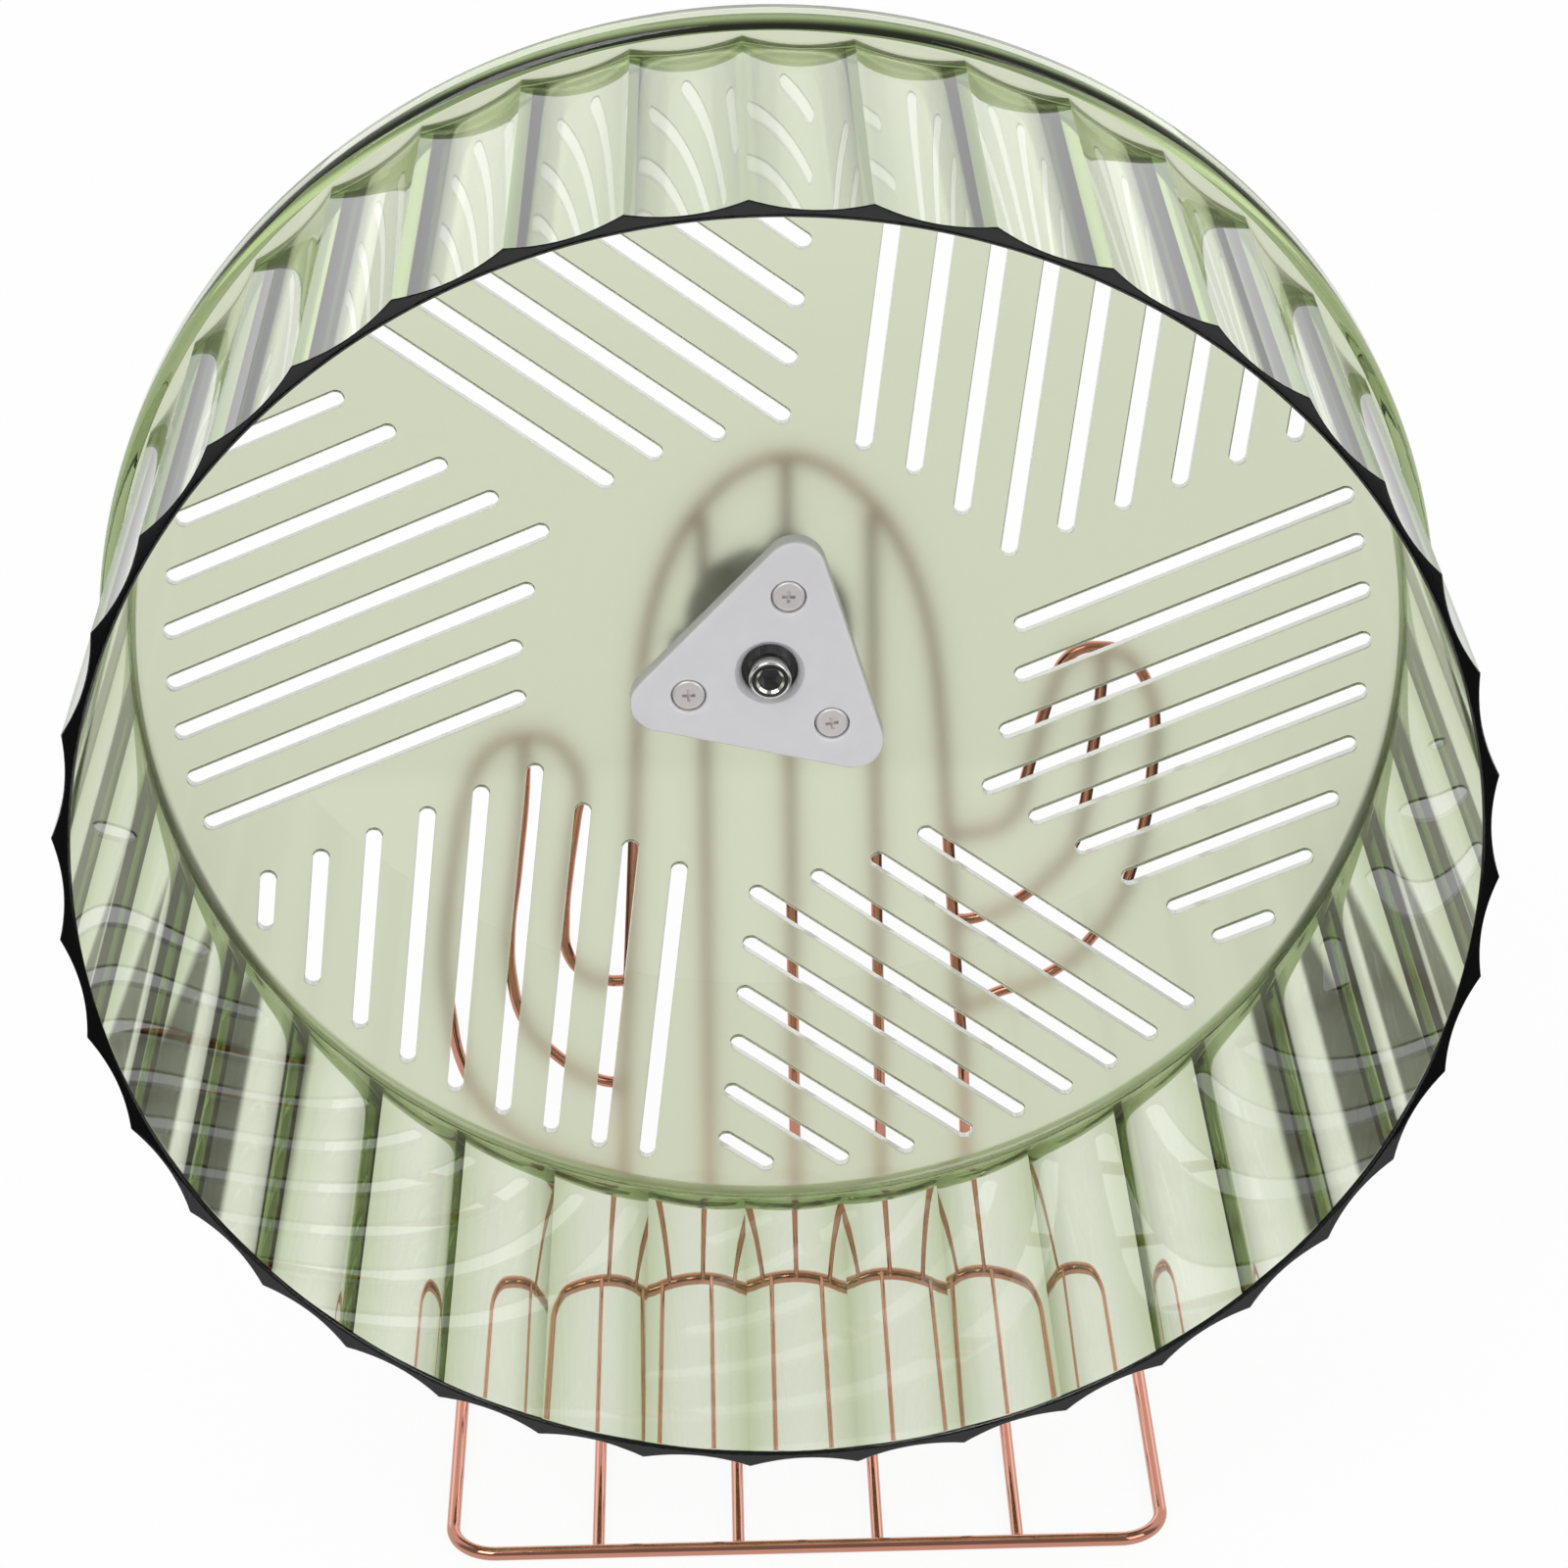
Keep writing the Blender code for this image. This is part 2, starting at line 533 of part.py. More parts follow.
def make_bearing(side, front):
    """Inner ring on the axle, outer ring in the housing, a cage and its balls between them."""
    groove = BALL_RADIUS + FIT_GAP
    inner = ring_profile(BOLT_RADIUS + FIT_GAP, inner_land_radius, ball_pitch_radius - groove)
    outer = ring_profile(BEARING_RADIUS, outer_land_radius, ball_pitch_radius + groove)
    place = (0.0, front, 0.0)
    inner_mesh = turned_mesh(f"{side}_inner_ring", inner, RING_STEPS)
    outer_mesh = turned_mesh(f"{side}_outer_ring", outer, RING_STEPS)
    add_part(f"{side}_inner_ring", inner_mesh, bright_steel, axle, place)
    add_part(f"{side}_outer_ring", outer_mesh, bright_steel, wheel, place)
    middle = front + BEARING_WIDTH / 2
    cage_inner = inner_land_radius + SEAT_GAP
    cage_outer = outer_land_radius - SEAT_GAP
    pocket_radius = BALL_RADIUS + FIT_GAP
    cage_width = 2 * (pocket_radius + CAGE_WALL)
    cage_mesh = tube_mesh(f"{side}_cage", cage_inner, cage_outer, cage_width, 4 * BALL_COUNT)
    cage = add_part(f"{side}_cage", cage_mesh, brass, axle, (0.0, middle - cage_width / 2, 0.0))
    pockets = bmesh.new()
    pocket_length = cage_outer - cage_inner + 2 * CAGE_WALL
    for number in range(BALL_COUNT):
        angle = math.tau * number / BALL_COUNT
        across, up = polar(ball_pitch_radius, angle)
        spoke = Matrix.Rotation(-angle, 4, 'Y') @ Matrix.Rotation(math.pi / 2, 4, 'Y')
        bmesh.ops.create_cone(pockets, cap_ends=True, segments=POCKET_STEPS, radius1=pocket_radius,
                              radius2=pocket_radius, depth=pocket_length,
                              matrix=Matrix.Translation((across, 0.0, up)) @ spoke)
        ball = bmesh.new()
        bmesh.ops.create_uvsphere(ball, u_segments=8, v_segments=6, radius=BALL_RADIUS)
        ball_mesh = bpy.data.meshes.new(f"{side}_ball")
        ball.to_mesh(ball_mesh)
        ball.free()
        shade_round(ball_mesh)
        add_part(f"{side}_ball_{number + 1}", ball_mesh, bright_steel, axle, (across, middle, up))
    pocket_mesh = bpy.data.meshes.new(f"{side}_pockets")
    pockets.to_mesh(pocket_mesh)
    pockets.free()
    combine(cage, add_cutter(f"{side}_pockets", pocket_mesh, axle, (0.0, middle, 0.0)))


def hexagon(flats):
    return circle(flats / math.sqrt(3), 6)


def make_axle():
    """Socket-head screw through both bearings, with its spacers, welded bushing and nut."""
    head_front = front_bearing_front - SEAT_GAP - BOLT_HEAD_HEIGHT
    length = tail_reach - head_front
    profile = [(0.0, length), (BOLT_RADIUS, length), (BOLT_RADIUS, BOLT_HEAD_HEIGHT),
               (BOLT_HEAD_RADIUS, BOLT_HEAD_HEIGHT), (BOLT_HEAD_RADIUS, BOLT_HEAD_CHAMFER),
               (BOLT_HEAD_RADIUS - BOLT_HEAD_CHAMFER, 0.0), (0.0, 0.0)]
    mesh = turned_mesh("axle_bolt", profile, RING_STEPS, closed=False)
    shade_round(mesh)
    bolt = add_part("axle_bolt", mesh, bright_steel, axle, (0.0, head_front, 0.0))
    socket_mesh = outline_mesh("socket", [hexagon(SOCKET_FLATS)], SOCKET_DEPTH + CUT_OVERRUN)
    combine(bolt, add_cutter("socket", socket_mesh, axle, (0.0, head_front - CUT_OVERRUN, 0.0)))
    bore = BOLT_RADIUS + FIT_GAP
    spacer_mesh = tube_mesh("bearing_spacer", bore, SPACER_RADIUS, spacer_rear - spacer_front)
    add_part("bearing_spacer", spacer_mesh, bright_steel, axle, (0.0, spacer_front, 0.0))
    rear_mesh = tube_mesh("rear_spacer", bore, SPACER_RADIUS, REAR_SPACER_LENGTH)
    add_part("rear_spacer", rear_mesh, bright_steel, axle, (0.0, rear_spacer_front, 0.0))
    bushing_mesh = tube_mesh("axle_bushing", bore, BUSHING_RADIUS, BUSHING_LENGTH)
    add_part("axle_bushing", bushing_mesh, copper, axle, (0.0, bushing_front, 0.0))
    nut_mesh = outline_mesh("axle_nut", [hexagon(NUT_FLATS), circle(bore, RING_STEPS)], NUT_HEIGHT)
    add_part("axle_nut", nut_mesh, bright_steel, axle, (0.0, nut_front, 0.0))


def make_base():
    """Rounded wire loop on the floor, with four bars from its rear wire to its front wire."""
    reach_x = BASE_HALF_WIDTH - BASE_CORNER_RADIUS
    middle_y = (trunk_y + base_front_y) / 2
    reach_y = BASE_DEPTH / 2 - BASE_CORNER_RADIUS
    loop = []
    for turn, (side_x, side_y) in enumerate([(1, 1), (-1, 1), (-1, -1), (1, -1)]):
        centre = (stand_x + side_x * reach_x, middle_y + side_y * reach_y)
        start = turn * math.pi / 2
        loop += arc(centre, BASE_CORNER_RADIUS, start, start + math.pi / 2, ARC_STEPS)
    wire("base_loop", [(x, y, base_z) for x, y in loop], BASE_WIRE_RADIUS, copper, closed=True)
    seat = BASE_WIRE_RADIUS + SEAT_GAP
    offsets = [-OUTER_BAR_OFFSET, -INNER_BAR_OFFSET, INNER_BAR_OFFSET, OUTER_BAR_OFFSET]
    for number, offset in enumerate(offsets, 1):
        bar_x = stand_x + offset
        ends = [(bar_x, trunk_y - seat, base_z), (bar_x, base_front_y + seat, base_z)]
        wire(f"base_bar_{number}", ends, WIRE_RADIUS, copper)


def trunk_side():
    """Half outline of the trunk as (distance from its middle, height), foot to top."""
    rise = TRUNK_HEIGHT - foot_z
    points = [(width * TRUNK_HALF_WIDTH, foot_z + height * rise) for width, height in trunk_shares]
    return smooth_path(points)


def leg_distance(height):
    """How far the trunk's leg stands from the trunk's middle at a height."""
    side = trunk_side()
    return float(np.interp(height, [point[1] for point in side], [point[0] for point in side]))


def rib_top(distance):
    """Height of a rib's upper end, seated below the trunk's arch."""
    side = trunk_side()[::-1]
    near = distance + WIRE_RADIUS
    arch, before = np.interp([near, distance], [point[0] for point in side], [point[1] for point in side])
    steepness = math.hypot(1.0, (before - arch) / WIRE_RADIUS)
    return float(arch) - (WIRE_RADIUS + SEAT_GAP) * steepness


def make_trunk():
    side = trunk_side()
    outline = [(-across, up) for across, up in side] + side[-2::-1]
    wire("trunk_arch", [(stand_x + across, trunk_y, up) for across, up in outline], WIRE_RADIUS, copper)
    ribs = {"trunk_rib_left": -1, "trunk_rib_centre": 0, "trunk_rib_right": 1}
    for name, sign in ribs.items():
        foot = (stand_x + sign * RIB_FOOT_OFFSET, trunk_y, foot_z)
        top_offset = sign * RIB_TOP_OFFSET
        top = (stand_x + top_offset, trunk_y, rib_top(abs(top_offset)))
        wire(name, [foot, top], WIRE_RADIUS, copper)


def arm_path(shares, sign, height, rise, reach):
    """Smooth path from shares of the arm's reach and rise, measured from the trunk's leg."""
    seat = WIRE_RADIUS + SEAT_GAP
    points = []
    for out, up in shares:
        level = height + up * rise
        points.append((sign * (leg_distance(level) + seat + out * (reach - seat)), level))
    return smooth_path(points)


def make_arm(side, sign, arm_shares, rib_shares, height, rise, reach):
    """Looped outline of one cactus arm and the rib inside it."""
    outline = arm_path(arm_shares, sign, height, rise, reach)
    loop = [(stand_x + across, trunk_y, up) for across, up in outline]
    wire(f"{side}_arm_loop", loop, WIRE_RADIUS, copper)
    rib = arm_path(rib_shares, sign, height, rise, reach)
    top_z = height + rise - WIRE_RADIUS - 2 * SEAT_GAP
    rib = [(rib[0][0], top_z)] + rib
    wire(f"{side}_arm_rib", [(stand_x + across, trunk_y, up) for across, up in rib], WIRE_RADIUS, copper)


clear_scene()
parts = new_collection("hamster_exercise_wheel")
cutters = new_collection("cutters")

clear_plastic = new_material("clear_plastic", (0.60, 0.68, 0.50), 0.05, 0.0, 0.45)
milky_plastic = new_material("milky_plastic", (0.60, 0.58, 0.64), 0.35, 0.0)
dark_plastic = new_material("dark_plastic", (0.08, 0.09, 0.08), 0.45, 0.0)
bright_steel = new_material("bright_steel", (0.70, 0.70, 0.68), 0.2, 1.0)
brass = new_material("brass", (0.75, 0.60, 0.35), 0.3, 1.0)
copper = new_material("copper", (0.78, 0.45, 0.33), 0.3, 1.0)

wheel = new_empty("wheel_axis", (0.0, disc_y, axle_height), WHEEL_TURN)
axle = new_empty("axle_axis", (0.0, disc_y, axle_height))

make_drum()
make_hub_plate()
make_hub_screws()
make_housing()
make_bearing("front", front_bearing_front)
make_bearing("rear", rear_bearing_front)
make_axle()
make_base()
make_trunk()
make_arm("left", -1, left_arm_shares, left_rib_shares, LEFT_ARM_HEIGHT, LEFT_ARM_RISE, LEFT_ARM_REACH)
make_arm("right", 1, right_arm_shares, right_rib_shares, RIGHT_ARM_HEIGHT, RIGHT_ARM_RISE, RIGHT_ARM_REACH)
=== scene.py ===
import bpy
import bmesh
import json
import math
from mathutils import Matrix, Vector


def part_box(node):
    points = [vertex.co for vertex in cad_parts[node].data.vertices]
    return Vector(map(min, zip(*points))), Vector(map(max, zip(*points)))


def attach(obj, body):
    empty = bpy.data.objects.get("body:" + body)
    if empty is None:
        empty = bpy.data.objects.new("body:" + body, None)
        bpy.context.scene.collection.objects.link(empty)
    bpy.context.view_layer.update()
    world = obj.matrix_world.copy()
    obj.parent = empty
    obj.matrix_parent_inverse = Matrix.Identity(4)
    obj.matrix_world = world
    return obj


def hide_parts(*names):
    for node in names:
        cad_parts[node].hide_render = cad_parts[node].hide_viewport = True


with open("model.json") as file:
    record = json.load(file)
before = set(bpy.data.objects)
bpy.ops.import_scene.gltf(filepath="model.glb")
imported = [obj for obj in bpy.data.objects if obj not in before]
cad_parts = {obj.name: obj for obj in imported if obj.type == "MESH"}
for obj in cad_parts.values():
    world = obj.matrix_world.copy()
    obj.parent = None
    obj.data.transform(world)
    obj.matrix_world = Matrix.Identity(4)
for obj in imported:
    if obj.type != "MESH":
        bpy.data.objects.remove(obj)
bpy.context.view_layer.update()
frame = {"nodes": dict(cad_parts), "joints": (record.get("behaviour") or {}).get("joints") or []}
print("frame loaded")

# every place is worked out from the axle and the boxes of the CAD nodes
spinJoint = next(joint for joint in frame["joints"] if joint["name"] == "wheel_spin")
axlePlace = Vector(spinJoint["pos_m"])  # wheel's axis, at the disc's front face
standX = sum(corner.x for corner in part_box("trunk_rib_centre")) / 2
trunkY = sum(corner.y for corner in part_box("trunk_rib_centre")) / 2
fullTurn = 2 * math.pi
halfTurn = math.pi
quarterTurn = math.pi / 2
mergeDistance = 0.000001
cutMargin = 0.001  # a cutter reaches this far past the faces it cuts


# small helpers for modelling with the operators
def pickOnly(piece):
    bpy.ops.object.select_all(action='DESELECT')
    piece.select_set(True)
    bpy.context.view_layer.objects.active = piece


def freshPiece(name):
    piece = bpy.context.active_object
    piece.name = name
    piece.data.name = name
    return piece


def applyModifier(piece, modifier):
    pickOnly(piece)
    bpy.ops.object.modifier_apply(modifier=modifier.name)


def selectWhere(piece, kind, test):
    # selects only the edges or vertices for which the test holds
    mesh = bmesh.from_edit_mesh(piece.data)
    for group in (mesh.verts, mesh.edges, mesh.faces):
        for item in group:
            item.select = False
    for item in getattr(mesh, kind):
        if test(item):
            item.select_set(True)
    bmesh.update_edit_mesh(piece.data)


def arcPoints(centre, radius, start, end, steps):
    angles = [start + (end - start) * step / steps for step in range(steps + 1)]
    return [(centre[0] + radius * math.cos(angle), centre[1] + radius * math.sin(angle)) for angle in angles]


def polar(radius, angle):
    return radius * math.cos(angle), radius * math.sin(angle)


def flatRadius(angle, radius, along):
    return radius


def placeRing(piece, radius, along, shape):
    # puts the selected ring of vertices at a radius and a distance along the axle
    mesh = bmesh.from_edit_mesh(piece.data)
    for vertex in mesh.verts:
        if vertex.select:
            angle = math.atan2(vertex.co.z, vertex.co.x)
            across, up = polar(shape(angle, radius, along), angle)
            vertex.co = (across, along, up)
    bmesh.update_edit_mesh(piece.data)


def tidyMesh():
    # for the piece in edit mode: merges doubled points and turns the faces outwards
    bpy.ops.mesh.select_all(action='SELECT')
    bpy.ops.mesh.remove_doubles(threshold=mergeDistance)
    bpy.ops.mesh.normals_make_consistent(inside=False)
    bpy.ops.object.mode_set(mode='OBJECT')


def turnPiece(name, profile, steps, closed=True, startAngle=0.0, shapes=None):
    # a ring extruded from point to point of a (radius, along) profile, around the Y axis
    bpy.ops.object.select_all(action='DESELECT')
    bpy.ops.mesh.primitive_circle_add(vertices=steps, radius=profile[0][0],
                                      rotation=(quarterTurn, -startAngle, 0))
    piece = freshPiece(name)
    bpy.ops.object.transform_apply(location=False, rotation=True, scale=False)
    bpy.ops.object.mode_set(mode='EDIT')
    bpy.ops.mesh.select_mode(type='VERT')
    bpy.ops.mesh.select_all(action='SELECT')
    shapes = shapes or [flatRadius] * len(profile)
    placeRing(piece, *profile[0], shapes[0])
    if not closed:
        bpy.ops.mesh.edge_face_add()
        bpy.ops.mesh.select_all(action='SELECT')
    for point, shape in zip(profile[1:], shapes[1:]):
        if closed or point is not profile[1]:
            bpy.ops.mesh.extrude_region_move()
        else:
            bpy.ops.mesh.extrude_edges_move()
        placeRing(piece, *point, shape)
    if closed:
        mesh = bmesh.from_edit_mesh(piece.data)
        for edge in mesh.edges:
            edge.select_set(len(edge.link_faces) == 1)
        bmesh.update_edit_mesh(piece.data)
        bpy.ops.mesh.select_mode(type='EDGE')
        bpy.ops.mesh.bridge_edge_loops()
    else:
        bpy.ops.mesh.edge_face_add()
    tidyMesh()
    return piece


def outlinePiece(name, outline, front, rear):
    # a filled outline in the XZ plane, extruded along the axle
    bpy.ops.object.select_all(action='DESELECT')
    bpy.ops.mesh.primitive_circle_add(vertices=len(outline), radius=1, fill_type='NGON')
    piece = freshPiece(name)
    for vertex, (across, up) in zip(piece.data.vertices, outline):
        vertex.co = (across, front, up)
    bpy.ops.object.mode_set(mode='EDIT')
    bpy.ops.mesh.select_all(action='SELECT')
    bpy.ops.mesh.extrude_region_move(TRANSFORM_OT_translate={"value": (0, rear - front, 0)})
    bpy.ops.mesh.select_all(action='SELECT')
    bpy.ops.mesh.normals_make_consistent(inside=False)
    bpy.ops.object.mode_set(mode='OBJECT')
    return piece


def cutWith(piece, cutter, operation='DIFFERENCE'):
    boolean = piece.modifiers.new("cut", 'BOOLEAN')
    boolean.operation = operation
    boolean.object = cutter
    applyModifier(piece, boolean)
    bpy.data.objects.remove(cutter, do_unlink=True)


def copyPiece(piece, name):
    copied = piece.copy()
    copied.data = piece.data.copy()
    copied.name = name
    copied.data.name = name
    bpy.context.scene.collection.objects.link(copied)
    return copied


def joinPieces(name, pieces):
    bpy.ops.object.select_all(action='DESELECT')
    for piece in pieces:
        piece.select_set(True)
    bpy.context.view_layer.objects.active = pieces[0]
    bpy.ops.object.join()
    return freshPiece(name)


def finishPiece(piece, body, nodes, finish, place=(0, 0, 0), smoothAngle=30):
    # sets the piece down at its place, shades it and lets it ride on its body
    pickOnly(piece)
    piece.location = piece.location + Vector(place)
    bpy.ops.object.transform_apply(location=True, rotation=True, scale=True)
    bpy.ops.object.shade_smooth_by_angle(angle=math.radians(smoothAngle))
    # broad flat faces keep their own direction beside small rounded edges
    weighted = piece.modifiers.new("flatFaces", 'WEIGHTED_NORMAL')
    weighted.keep_sharp = True
    applyModifier(piece, weighted)
    piece.data.materials.clear()
    piece.data.materials.append(finish)
    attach(piece, body)
    if nodes:
        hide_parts(*nodes)


# small helpers for node trees
def newFinish(name):
    finish = bpy.data.materials.new(name)
    finish.use_nodes = True
    tree = finish.node_tree
    return finish, tree, tree.nodes["Principled BSDF"]


def opaque(colour):
    return (*colour, 1)


def addNode(tree, kind, settings=None, inputs=None):
    node = tree.nodes.new(kind)
    for key, value in (settings or {}).items():
        setattr(node, key, value)
    for key, value in (inputs or {}).items():
        feed(tree, value, node.inputs[key])
    return node


def feed(tree, value, socket):
    # a socket takes either another node's output or a plain value
    if isinstance(value, bpy.types.NodeSocket):
        tree.links.new(value, socket)
    else:
        socket.default_value = value


def mathNode(tree, operation, first, second=0.0):
    return addNode(tree, "ShaderNodeMath", {"operation": operation}, {0: first, 1: second}).outputs[0]


def highest(tree, first, *others):
    for other in others:
        first = mathNode(tree, 'MAXIMUM', first, other)
    return first


def rangeOf(tree, source, result, span=(0, 1), kind='LINEAR'):
    # maps the span's two ends to the two values of the result
    return addNode(tree, "ShaderNodeMapRange", {"interpolation_type": kind},
                   {"Value": source, "From Min": span[0], "From Max": span[1],
                    "To Min": result[0], "To Max": result[1]}).outputs["Result"]


mixSockets = {'FLOAT': (2, 3, 0), 'RGBA': (6, 7, 2)}  # numbers of a Mix node's two ends and its result


def mixNode(tree, kind, share, first, second):
    firstEnd, secondEnd, result = mixSockets[kind]
    node = addNode(tree, "ShaderNodeMix", {"data_type": kind}, {0: share, firstEnd: first, secondEnd: second})
    return node.outputs[result]


def objectPlace(tree):
    return addNode(tree, "ShaderNodeTexCoord").outputs["Object"]


def objectNoise(tree, scale, detail):
    # noise in the piece's own coordinates
    return addNode(tree, "ShaderNodeTexNoise", None,
                   {"Vector": objectPlace(tree), "Scale": scale, "Detail": detail}).outputs["Fac"]


def addBump(tree, shader, source, strength, distance):
    bump = addNode(tree, "ShaderNodeBump", None, {"Height": source, "Strength": strength, "Distance": distance})
    tree.links.new(bump.outputs["Normal"], shader.inputs["Normal"])


# finishes; a plain value also stands under each linked colour and clearness, for viewers that read no nodes
clearLook = {"ior": 1.5, "tint": (0.98, 0.99, 0.97), "gloss": (0.01, 0.03), "clear": 1.0,
             "frostTint": (0.98, 0.97, 0.86), "frost": (0.36, 0.40), "frostClear": 0.92, "frostMargin": 0.0001,
             "wallTint": (0.92, 0.93, 0.89), "wallClear": 0.2, "wallInset": 0.00009, "wallReach": 0.1215,
             "density": 220.0, "depthColour": (0.386, 0.505, 0.10), "grain": 40.0, "grainDetail": 3.0,
             "waves": 22.0, "waveDetail": 1.0, "waveStrength": 0.01, "waveHeight": 0.001}
metalLook = {"detail": 4.0, "shade": 0.90, "grainHeight": 0.0002}
plasticLook = {"detail": 3.0, "shade": 0.94, "grainHeight": 0.0002, "scatterDepth": 0.003}


def makeClearGreen():
    # smoky olive clear plastic, polished but for the disc's frosted rear face and the paler walls of its slots
    look = clearLook
    finish, tree, shader = newFinish("clearGreenPlastic")
    centred = addNode(tree, "ShaderNodeMapping", None, {"Vector": objectPlace(tree), "Location": -axlePlace})
    split = addNode(tree, "ShaderNodeSeparateXYZ", None, {"Vector": centred.outputs["Vector"]})
    across, along, up = split.outputs
    squares = [mathNode(tree, 'MULTIPLY', part, part) for part in (across, up)]
    radius = mathNode(tree, 'SQRT', mathNode(tree, 'ADD', *squares))
    rear = drumSizes["discThickness"]
    skirtInner = drumSizes["flangeRadius"] - drumSizes["skirtThickness"]
    behind = mathNode(tree, 'GREATER_THAN', along, rear - look["frostMargin"])
    inside = mathNode(tree, 'LESS_THAN', radius, skirtInner - look["frostMargin"])
    frosted = mathNode(tree, 'MULTIPLY', behind, inside)
    # between the disc's two faces lie only the walls of its holes
    pastFront = mathNode(tree, 'GREATER_THAN', along, look["wallInset"])
    beforeRear = mathNode(tree, 'LESS_THAN', along, rear - look["wallInset"])
    within = mathNode(tree, 'LESS_THAN', radius, look["wallReach"])
    walls = mathNode(tree, 'MULTIPLY', mathNode(tree, 'MULTIPLY', pastFront, beforeRear), within)

    noise = objectNoise(tree, look["grain"], look["grainDetail"])
    gloss = rangeOf(tree, noise, look["gloss"])
    frost = rangeOf(tree, noise, look["frost"])
    tree.links.new(mixNode(tree, 'FLOAT', frosted, gloss, frost), shader.inputs["Roughness"])
    tint = mixNode(tree, 'RGBA', frosted, opaque(look["tint"]), opaque(look["frostTint"]))
    tint = mixNode(tree, 'RGBA', walls, tint, opaque(look["wallTint"]))
    shader.inputs["Base Color"].default_value = opaque(look["tint"])
    tree.links.new(tint, shader.inputs["Base Color"])
    clear = mixNode(tree, 'FLOAT', frosted, look["clear"], look["frostClear"])
    clear = mixNode(tree, 'FLOAT', walls, clear, look["wallClear"])
    shader.inputs["Transmission Weight"].default_value = look["clear"]
    tree.links.new(clear, shader.inputs["Transmission Weight"])
    shader.inputs["IOR"].default_value = look["ior"]
    waves = objectNoise(tree, look["waves"], look["waveDetail"])
    addBump(tree, shader, waves, look["waveStrength"], look["waveHeight"])
    absorb = addNode(tree, "ShaderNodeVolumeAbsorption", None,
                     {"Density": look["density"], "Color": opaque(look["depthColour"])})
    tree.links.new(absorb.outputs["Volume"], tree.nodes["Material Output"].inputs["Volume"])
    return finish


def addGrain(tree, shader, look, colour, rough, grain, bump):
    # one fine noise varies the roughness, the height and the colour
    noise = objectNoise(tree, grain, look["detail"])
    tree.links.new(rangeOf(tree, noise, rough), shader.inputs["Roughness"])
    addBump(tree, shader, noise, bump, look["grainHeight"])
    darker = [part * look["shade"] for part in colour]
    shader.inputs["Base Color"].default_value = opaque(colour)
    tree.links.new(mixNode(tree, 'RGBA', noise, opaque(darker), opaque(colour)), shader.inputs["Base Color"])


def makeMetal(name, colour, rough, grain, bump=0.03):
    finish, tree, shader = newFinish(name)
    shader.inputs["Metallic"].default_value = 1.0
    addGrain(tree, shader, metalLook, colour, rough, grain, bump)
    return finish


def makePlastic(name, colour, rough, grain, subsurface=0.0, bump=0.05):
    finish, tree, shader = newFinish(name)
    shader.inputs["Subsurface Weight"].default_value = subsurface
    shader.inputs["Subsurface Radius"].default_value = (1, 1, 1)
    shader.inputs["Subsurface Scale"].default_value = plasticLook["scatterDepth"]
    addGrain(tree, shader, plasticLook, colour, rough, grain, bump)
    return finish


# the drum: fluted wall, slotted disc, flange and skirt
drumSizes = {"depth": 0.0889, "ridgeRadius": 0.130, "fluteDepth": 0.00185, "innerRadius": 0.1266,
             "draft": 0.00095, "rimRound": 0.0008, "rimSteps": 4, "rimChamfer": 0.0002, "rearChamfer": 0.0003,
             "discThickness": 0.002, "discFillet": 0.0022, "filletSteps": 8, "flangeRadius": 0.13225,
             "flangeRound": 0.0027, "flangeSteps": 8, "skirtDepth": 0.0081, "skirtThickness": 0.003,
             "edgeRound": 0.0004, "edgeSteps": 3, "flutes": 39, "stepsPerFlute": 12,
             "ridgeAngle": math.radians(26.82)}
slotSizes = {"groups": 6, "perGroup": 9, "width": 0.0034, "spacing": 0.01035, "firstOffset": 0.013,
             "innerRadius": 0.049, "outerRadius": 0.1193, "endOffset": 0.0019, "throat": 0.00165,
             "frontLip": 0.00016, "frontSteps": 6, "rearLip": 0.0002, "rearSteps": 4, "steps": 24,
             "turn": math.radians(22.9)}


def fluteRadius(angle, radius, along):
    # hollow flutes between sharp ridges
    pitch = fullTurn / drumSizes["flutes"]
    share = ((angle - drumSizes["ridgeAngle"]) / pitch) % 1.0
    return radius - drumSizes["fluteDepth"] * (1.0 - (2.0 * share - 1.0) ** 2)


